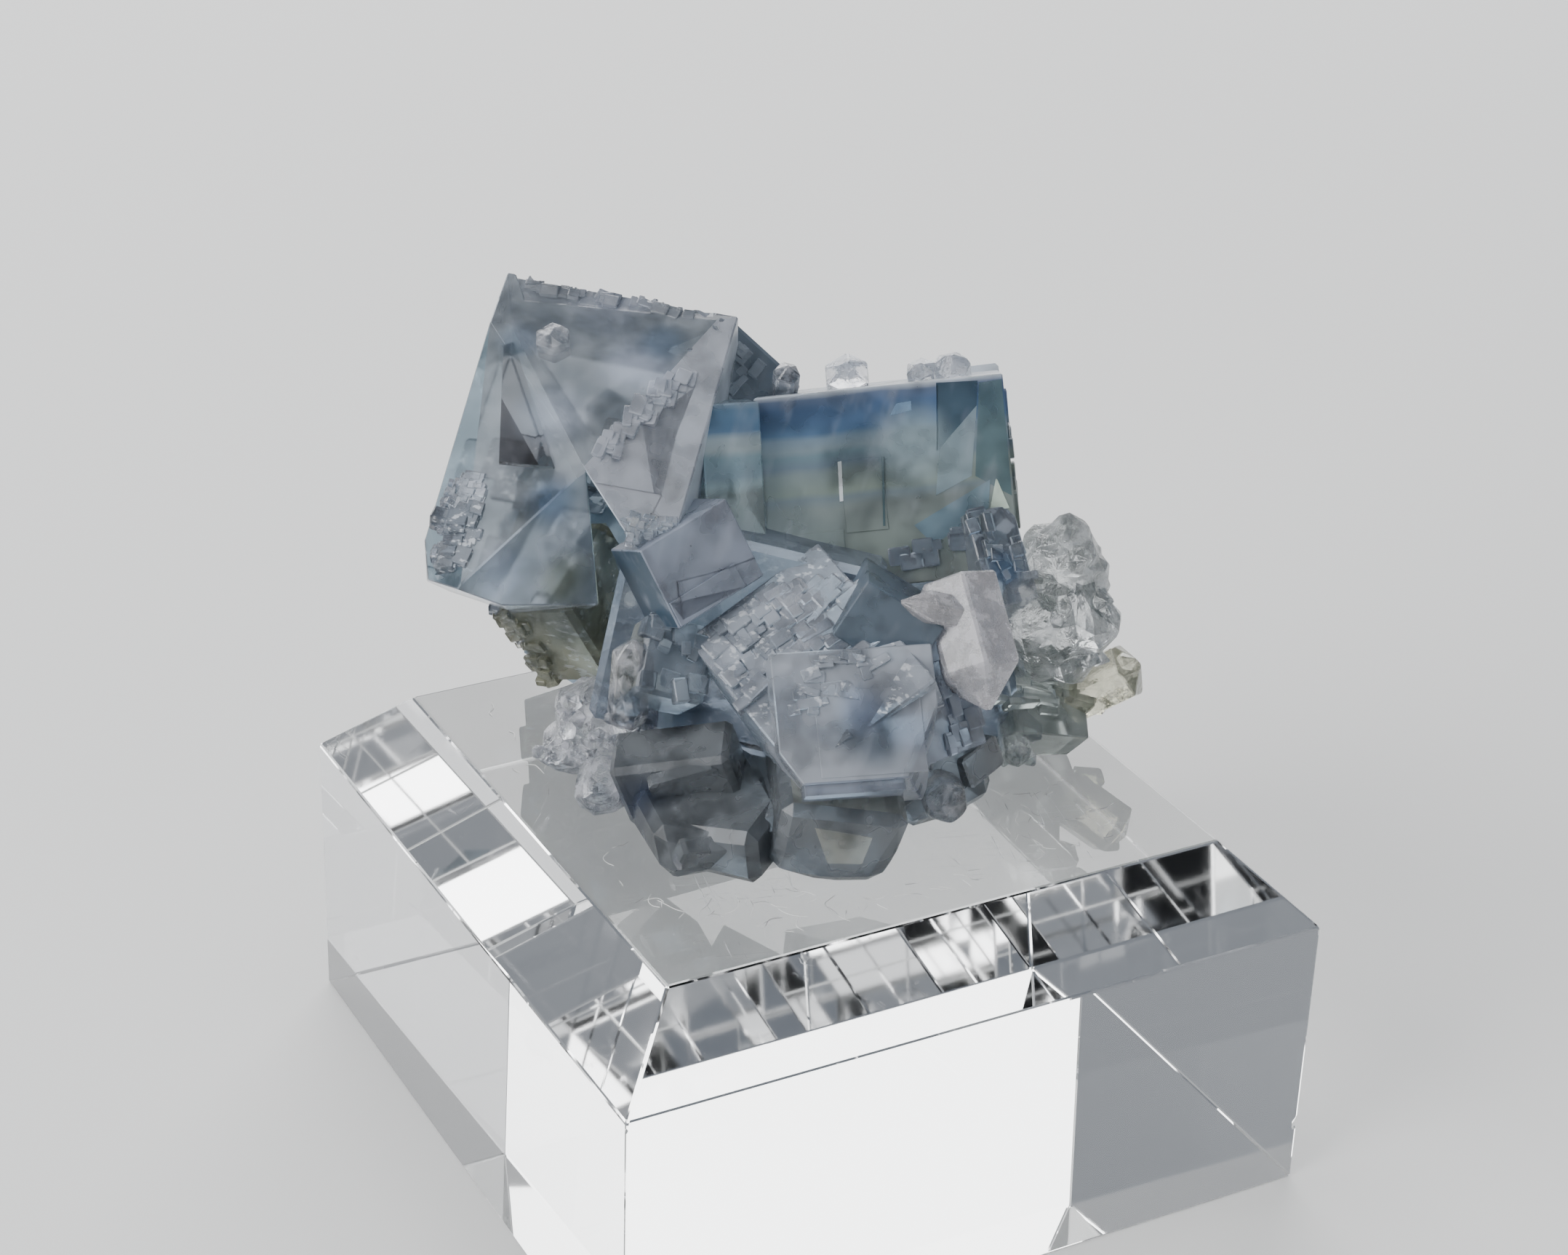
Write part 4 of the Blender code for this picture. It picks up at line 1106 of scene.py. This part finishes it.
def sprinkle(anchors, count, width, length, seed):
    """Small points that stand out of a lump near these (place, direction) anchors."""
    draw = random.Random(seed)
    made = []
    for number in range(count):
        spot, direction = anchors[number % len(anchors)]
        heading = Vector(direction).normalized()
        sideways = Vector([draw.uniform(-1, 1) for axis in range(3)])
        heading = (heading + sideways * math.tan(math.radians(POINT_LEAN)) * 0.7).normalized()
        root = Vector(spot) + Vector([draw.uniform(-POINT_SCATTER, POINT_SCATTER) for axis in range(3)])
        thick = draw.uniform(*width)
        tip = root + heading * draw.uniform(*length)
        made.append(quartz_crystal(root, tip, thick, draw.uniform(0, 60), thick * 0.6, number, POINT_EDGE))
    return made


# %% [markdown]
# ## Clear, milky and straw-coloured quartz
#
# All kinds bend light by 1.544. Clear quartz has veils and a lightly etched skin, and the weathered knots
# are greyer and etched deeper. The milky crystal is cloudy inside, and a warm cream highlight is painted
# along its edges: its bevels are the second material. The tips below the right cluster are tinted pale
# straw.


# %% Quartz materials
QUARTZ_IOR = 1.544
FINE_ETCHING = 3.2
COARSE_ETCHING = 0.9


def quartz_finish(name, clear, cloudy, clearness, roughness, skin_depth, etching=FINE_ETCHING):
    """Quartz between two tints: see-through and rough by two shares, for its clear and cloudy parts."""
    material, tree, shader = new_material(name)
    place = millimetres(tree)
    veil = spread(tree, noise(tree, place, 0.7, 5, 0.6), 0.38, 0.66)
    plug(tree, shader.inputs["Base Color"], mix(tree, veil, clear, cloudy))
    plug(tree, shader.inputs["Transmission Weight"], spread(tree, veil, 0.0, 1.0, *clearness))
    plug(tree, shader.inputs["Roughness"], spread(tree, veil, 0.0, 1.0, *roughness))
    shader.inputs["IOR"].default_value = QUARTZ_IOR
    pits = cells(tree, place, etching, "EUCLIDEAN")
    skin = relief(tree, maths(tree, "ADD", pits, noise(tree, place, 7.0, 3)), skin_depth, 0.6)
    plug(tree, shader.inputs["Normal"], skin)
    return material


clear_quartz = quartz_finish("clear quartz", (0.93, 0.94, 0.97), (0.82, 0.83, 0.88),
                             (1.0, 0.75), (0.02, 0.15), 0.03)
lump_quartz = quartz_finish("etched quartz", (0.82, 0.84, 0.84), (0.70, 0.73, 0.74),
                            (1.0, 0.68), (0.04, 0.20), 0.05)
druse_quartz = quartz_finish("druse quartz", (0.84, 0.86, 0.89), (0.76, 0.77, 0.83),
                             (0.97, 0.65), (0.04, 0.20), 0.05)
milky_quartz = quartz_finish("milky quartz", (0.84, 0.82, 0.84), (0.68, 0.67, 0.71),
                             (0.80, 0.50), (0.15, 0.35), 0.06, COARSE_ETCHING)
# painted highlight: a warm cream for edges lit from the side, laid on every bevel of the milky crystal
painted_rim_highlight = quartz_finish("cream rim", (0.98, 0.92, 0.83), (0.90, 0.83, 0.75),
                          (0.45, 0.25), (0.20, 0.40), 0.06, COARSE_ETCHING)
straw_quartz = quartz_finish("straw quartz", (0.84, 0.82, 0.66), (0.72, 0.71, 0.58),
                             (0.98, 0.72), (0.03, 0.18), 0.04)

# %% [markdown]
# ## The quartz pieces
#
# On the upper edge of the banded cube stand a single crystal and a pair, which has a third, tiny crystal
# beside it. One small crystal sits at the shoulder, and a six-sided one lies on the large lid.

# %% Crystals on the crest, the shoulder and the lid
crest = quartz_solid("crest_quartz", ((7.6, 9.2, 47.9), (6.2, 7.2, 51.4), 3.3, 10, 1.5, 4))
paint(crest, clear_quartz)
hand_over(crest, "quartz_crest")

pair = quartz_solid("crest_pair_quartz",
                    ((13.6, 5.2, 48.0), (12.5, 4.2, 51.95), 2.7, 0, 0.9, 2),
                    ((11.8, 5.8, 47.8), (10.6, 4.9, 51.3), 2.2, 20, 0.4, 3),
                    ((11.0, 4.6, 49.2), (10.5, 4.0, 50.6), 1.0, 20, 0.4, 5))
paint(pair, clear_quartz)
hand_over(pair, "quartz_crest_pair")

lid_crystal = quartz_solid("lid_quartz", ((-12.0, 14.1, 52.3), (-12.6, 13.3, 54.3), 2.5, 12, 0.35, 6))
paint(lid_crystal, clear_quartz)
hand_over(lid_crystal, "quartz_hexagon")

shoulder = quartz_solid("shoulder_quartz", ((2.8, 9.6, 48.0), (2.1, 7.8, 51.5), 1.9, 15, 0.7, 7))
paint(shoulder, clear_quartz)
hand_over(shoulder, "quartz_shoulder")

# %% Milky quartz, whose broad bevels take a painted cream highlight
RIM_SLOT = 1
milky = quartz_solid("milky_quartz",
                     ((6.0, -8.6, 42.0), (5.3, -14.9, 35.6), 5.6, 12, 2.6, 8, 0.34, RIM_SLOT),
                     ((6.2, -11.2, 40.6), (0.4, -10.5, 42.8), 2.4, 10, 2.2, 9, 0.22, RIM_SLOT))
paint(milky, milky_quartz, painted_rim_highlight)
hand_over(milky, "quartz_milky")

# %% [markdown]
# The right cluster and the left druse are knots of rough crystals. Their large crystals are joined,
# weathered by a fine remesh and displacement, and then small points are set on them.

# %% Right cluster
right = quartz_solid("right_quartz",
                     ((15.3, -4.6, 33.9), (15.9, -6.9, 44.5), 5.6, 10, 2.8, 10),
                     ((14.2, -6.4, 36.6), (18.2, -10.0, 37.7), 5.2, 25, 1.4, 11),
                     ((14.9, -6.3, 33.2), (12.1, -7.7, 40.8), 4.0, 5, 1.6, 12),
                     ((15.0, -4.6, 37.0), (18.0, -8.2, 41.0), 4.4, 30, 1.6, 28),
                     ((14.4, -4.4, 33.4), (17.3, -8.6, 34.6), 4.6, 0, 1.4, 13))
weather(right, voxel=0.30, strength=0.8, grain=2.2, kept=0.10)
RIGHT_ANCHORS = (
    # place, direction
    ((15.6, -7.6, 41.0), (-0.2, -1, 0.6)),
    ((16.6, -8.6, 37.6), (0.3, -1, 0.2)),
    ((13.4, -8.0, 38.6), (-0.5, -1, 0.3)),
    ((16.4, -7.2, 34.6), (0.4, -1, -0.1)),
)
points = sprinkle(RIGHT_ANCHORS, count=26, width=(1.0, 2.2), length=(1.0, 2.2), seed=21)
boolean(right, points, "UNION")
paint(right, lump_quartz)
hand_over(right, "quartz_cluster_right")
print("right cluster:", len(right.data.polygons), "faces")

# %% Straw-coloured tips
straw = quartz_solid("straw_quartz",
                     ((17.6, -5.0, 29.0), (21.7, -8.0, 32.4), 4.2, 5, 1.1, 14),
                     ((19.0, -4.7, 28.6), (20.9, -6.2, 28.5), 2.1, 0, 0.6, 15),
                     ((19.2, -6.2, 31.2), (21.0, -8.3, 33.0), 1.6, 30, 0.8, 16))
paint(straw, straw_quartz)
hand_over(straw, "quartz_amber_tip")

# %% Left point
left_point = quartz_solid("left_point_quartz",
                          ((-12.9, 0.8, 31.9), (-13.6, -1.6, 39.1), 2.8, 5, 1.5, 17),
                          ((-13.2, -0.6, 33.0), (-14.3, -1.8, 36.8), 1.3, 35, 0.8, 18))
paint(left_point, clear_quartz)
hand_over(left_point, "quartz_point_left")

# %% Druse
druse = quartz_solid("druse_quartz",
                     ((-10.6, 7.0, 25.5), (-14.2, 5.0, 32.2), 5.2, 20, 1.6, 19),
                     ((-11.4, 6.3, 27.2), (-17.3, 5.5, 27.9), 4.0, 5, 1.8, 20),
                     ((-11.5, 3.8, 29.2), (-16.3, -1.2, 26.4), 3.8, 10, 1.4, 21),
                     ((-11.2, 5.4, 28.5), (-12.6, -0.1, 32.2), 3.4, 0, 1.0, 22))
weather(druse, voxel=0.28, strength=0.7, grain=1.8, kept=0.10)
DRUSE_ANCHORS = (
    # place, direction
    ((-13.6, 1.6, 30.6), (-0.5, -1, 0.6)),
    ((-14.8, 4.6, 30.4), (-1, -0.5, 0.6)),
    ((-15.2, 1.6, 28.6), (-0.8, -1, 0.1)),
    ((-15.8, 4.4, 27.8), (-1, -0.4, 0.1)),
    ((-14.6, 0.4, 27.2), (-0.6, -1, 0.0)),
    ((-12.8, 0.8, 30.6), (-0.2, -1, 0.7)),
)
points = sprinkle(DRUSE_ANCHORS, count=34, width=(0.7, 1.5), length=(1.0, 2.0), seed=31)
boolean(druse, points, "UNION")
paint(druse, druse_quartz)
hand_over(druse, "quartz_druse_left")
print("druse:", len(druse.data.polygons), "faces")

# %% Rounded bead
bead = quartz_solid("bead_quartz", ((4.5, -10.2, 28.1), (2.9, -14.5, 29.0), 3.3, 10, 1.1, 23, 0.5))
apply_modifier(bead, "SUBSURF", levels=2, render_levels=2)
bpy.ops.object.shade_smooth()
paint(bead, clear_quartz)
hand_over(bead, "quartz_bead")

# %% Sprigs at the right foot
sprigs = quartz_solid("sprig_quartz",
                      ((13.3, -4.8, 28.6), (11.7, -8.9, 27.0), 2.2, 0, 1.0, 24),
                      ((13.0, -4.6, 28.6), (13.9, -8.1, 28.2), 1.8, 10, 0.8, 25),
                      ((12.9, -6.0, 27.8), (13.2, -8.6, 26.6), 1.1, 20, 0.6, 26),
                      ((12.4, -6.6, 27.8), (11.0, -7.8, 26.6), 1.0, 40, 0.6, 27))
paint(sprigs, lump_quartz)
hand_over(sprigs, "quartz_sprigs_right")

# %% [markdown]
# ## Floor and light
#
# The stage is one pale floor. A wide soft window stands behind the specimen, a weaker one lights its left
# side, and two faint lights fill the shadows from above and from the right. The sky is paler near the
# horizon than overhead, so that each facet bends a different tone into view. Light that is trapped in a
# clear block bounces many times, so the bounce limits are raised.

# %% Studio
AIM_HEIGHT = 0.03
FLOOR_COLOUR = (0.80, 0.80, 0.79, 1)
SKY = ((0.0, (0.80, 0.81, 0.83)), (0.35, (0.60, 0.63, 0.68)), (0.8, (0.22, 0.25, 0.30)))
SKY_STRENGTH = 0.6
CLEAR_BOUNCES = 24
DIFFUSE_BOUNCES = 3

bpy.ops.object.select_all(action="DESELECT")
bpy.ops.mesh.primitive_plane_add(size=4, location=(0, 0, -0.05 * MM))
floor = bpy.context.object
floor.name = "floor"
floor_paint, tree, shader = new_material("pale floor")
shader.inputs["Base Color"].default_value = FLOOR_COLOUR
shader.inputs["Roughness"].default_value = 0.9
paint(floor, floor_paint)


def softbox(name, azimuth, elevation, distance, size, power):
    """An area light that looks at the specimen, with its distance and size in metres."""
    data = bpy.data.lights.new(name, "AREA")
    data.shape = "RECTANGLE"
    data.size, data.size_y = size
    data.energy = power
    lamp = bpy.data.objects.new(name, data)
    bpy.context.scene.collection.objects.link(lamp)
    back = facing(azimuth, elevation)
    lamp.location = back * distance + Vector((0, 0, AIM_HEIGHT))
    lamp.rotation_euler = back.to_track_quat("Z", "Y").to_euler()


softbox("window", 160, 28, 0.9, (1.0, 0.7), 11)
softbox("side window", -85, 30, 0.8, (0.6, 0.5), 7)
softbox("overhead", 0, 80, 0.9, (0.6, 0.6), 3)
softbox("fill", 30, 25, 1.2, (0.8, 0.6), 1.5)

world = bpy.data.worlds.new("studio")
bpy.context.scene.world = world
world.use_nodes = True
tree = world.node_tree
height = tree.nodes.new("ShaderNodeSeparateXYZ")
tree.links.new(tree.nodes.new("ShaderNodeTexCoord").outputs["Generated"], height.inputs[0])
sky = ramp(tree, height.outputs["Z"], SKY)
tree.links.new(sky, tree.nodes["Background"].inputs["Color"])
tree.nodes["Background"].inputs["Strength"].default_value = SKY_STRENGTH

scene = bpy.context.scene
scene.view_settings.view_transform = "AgX"
scene.cycles.use_denoising = True
scene.cycles.max_bounces = CLEAR_BOUNCES
scene.cycles.diffuse_bounces = DIFFUSE_BOUNCES
scene.cycles.transmission_bounces = CLEAR_BOUNCES
scene.cycles.glossy_bounces = CLEAR_BOUNCES
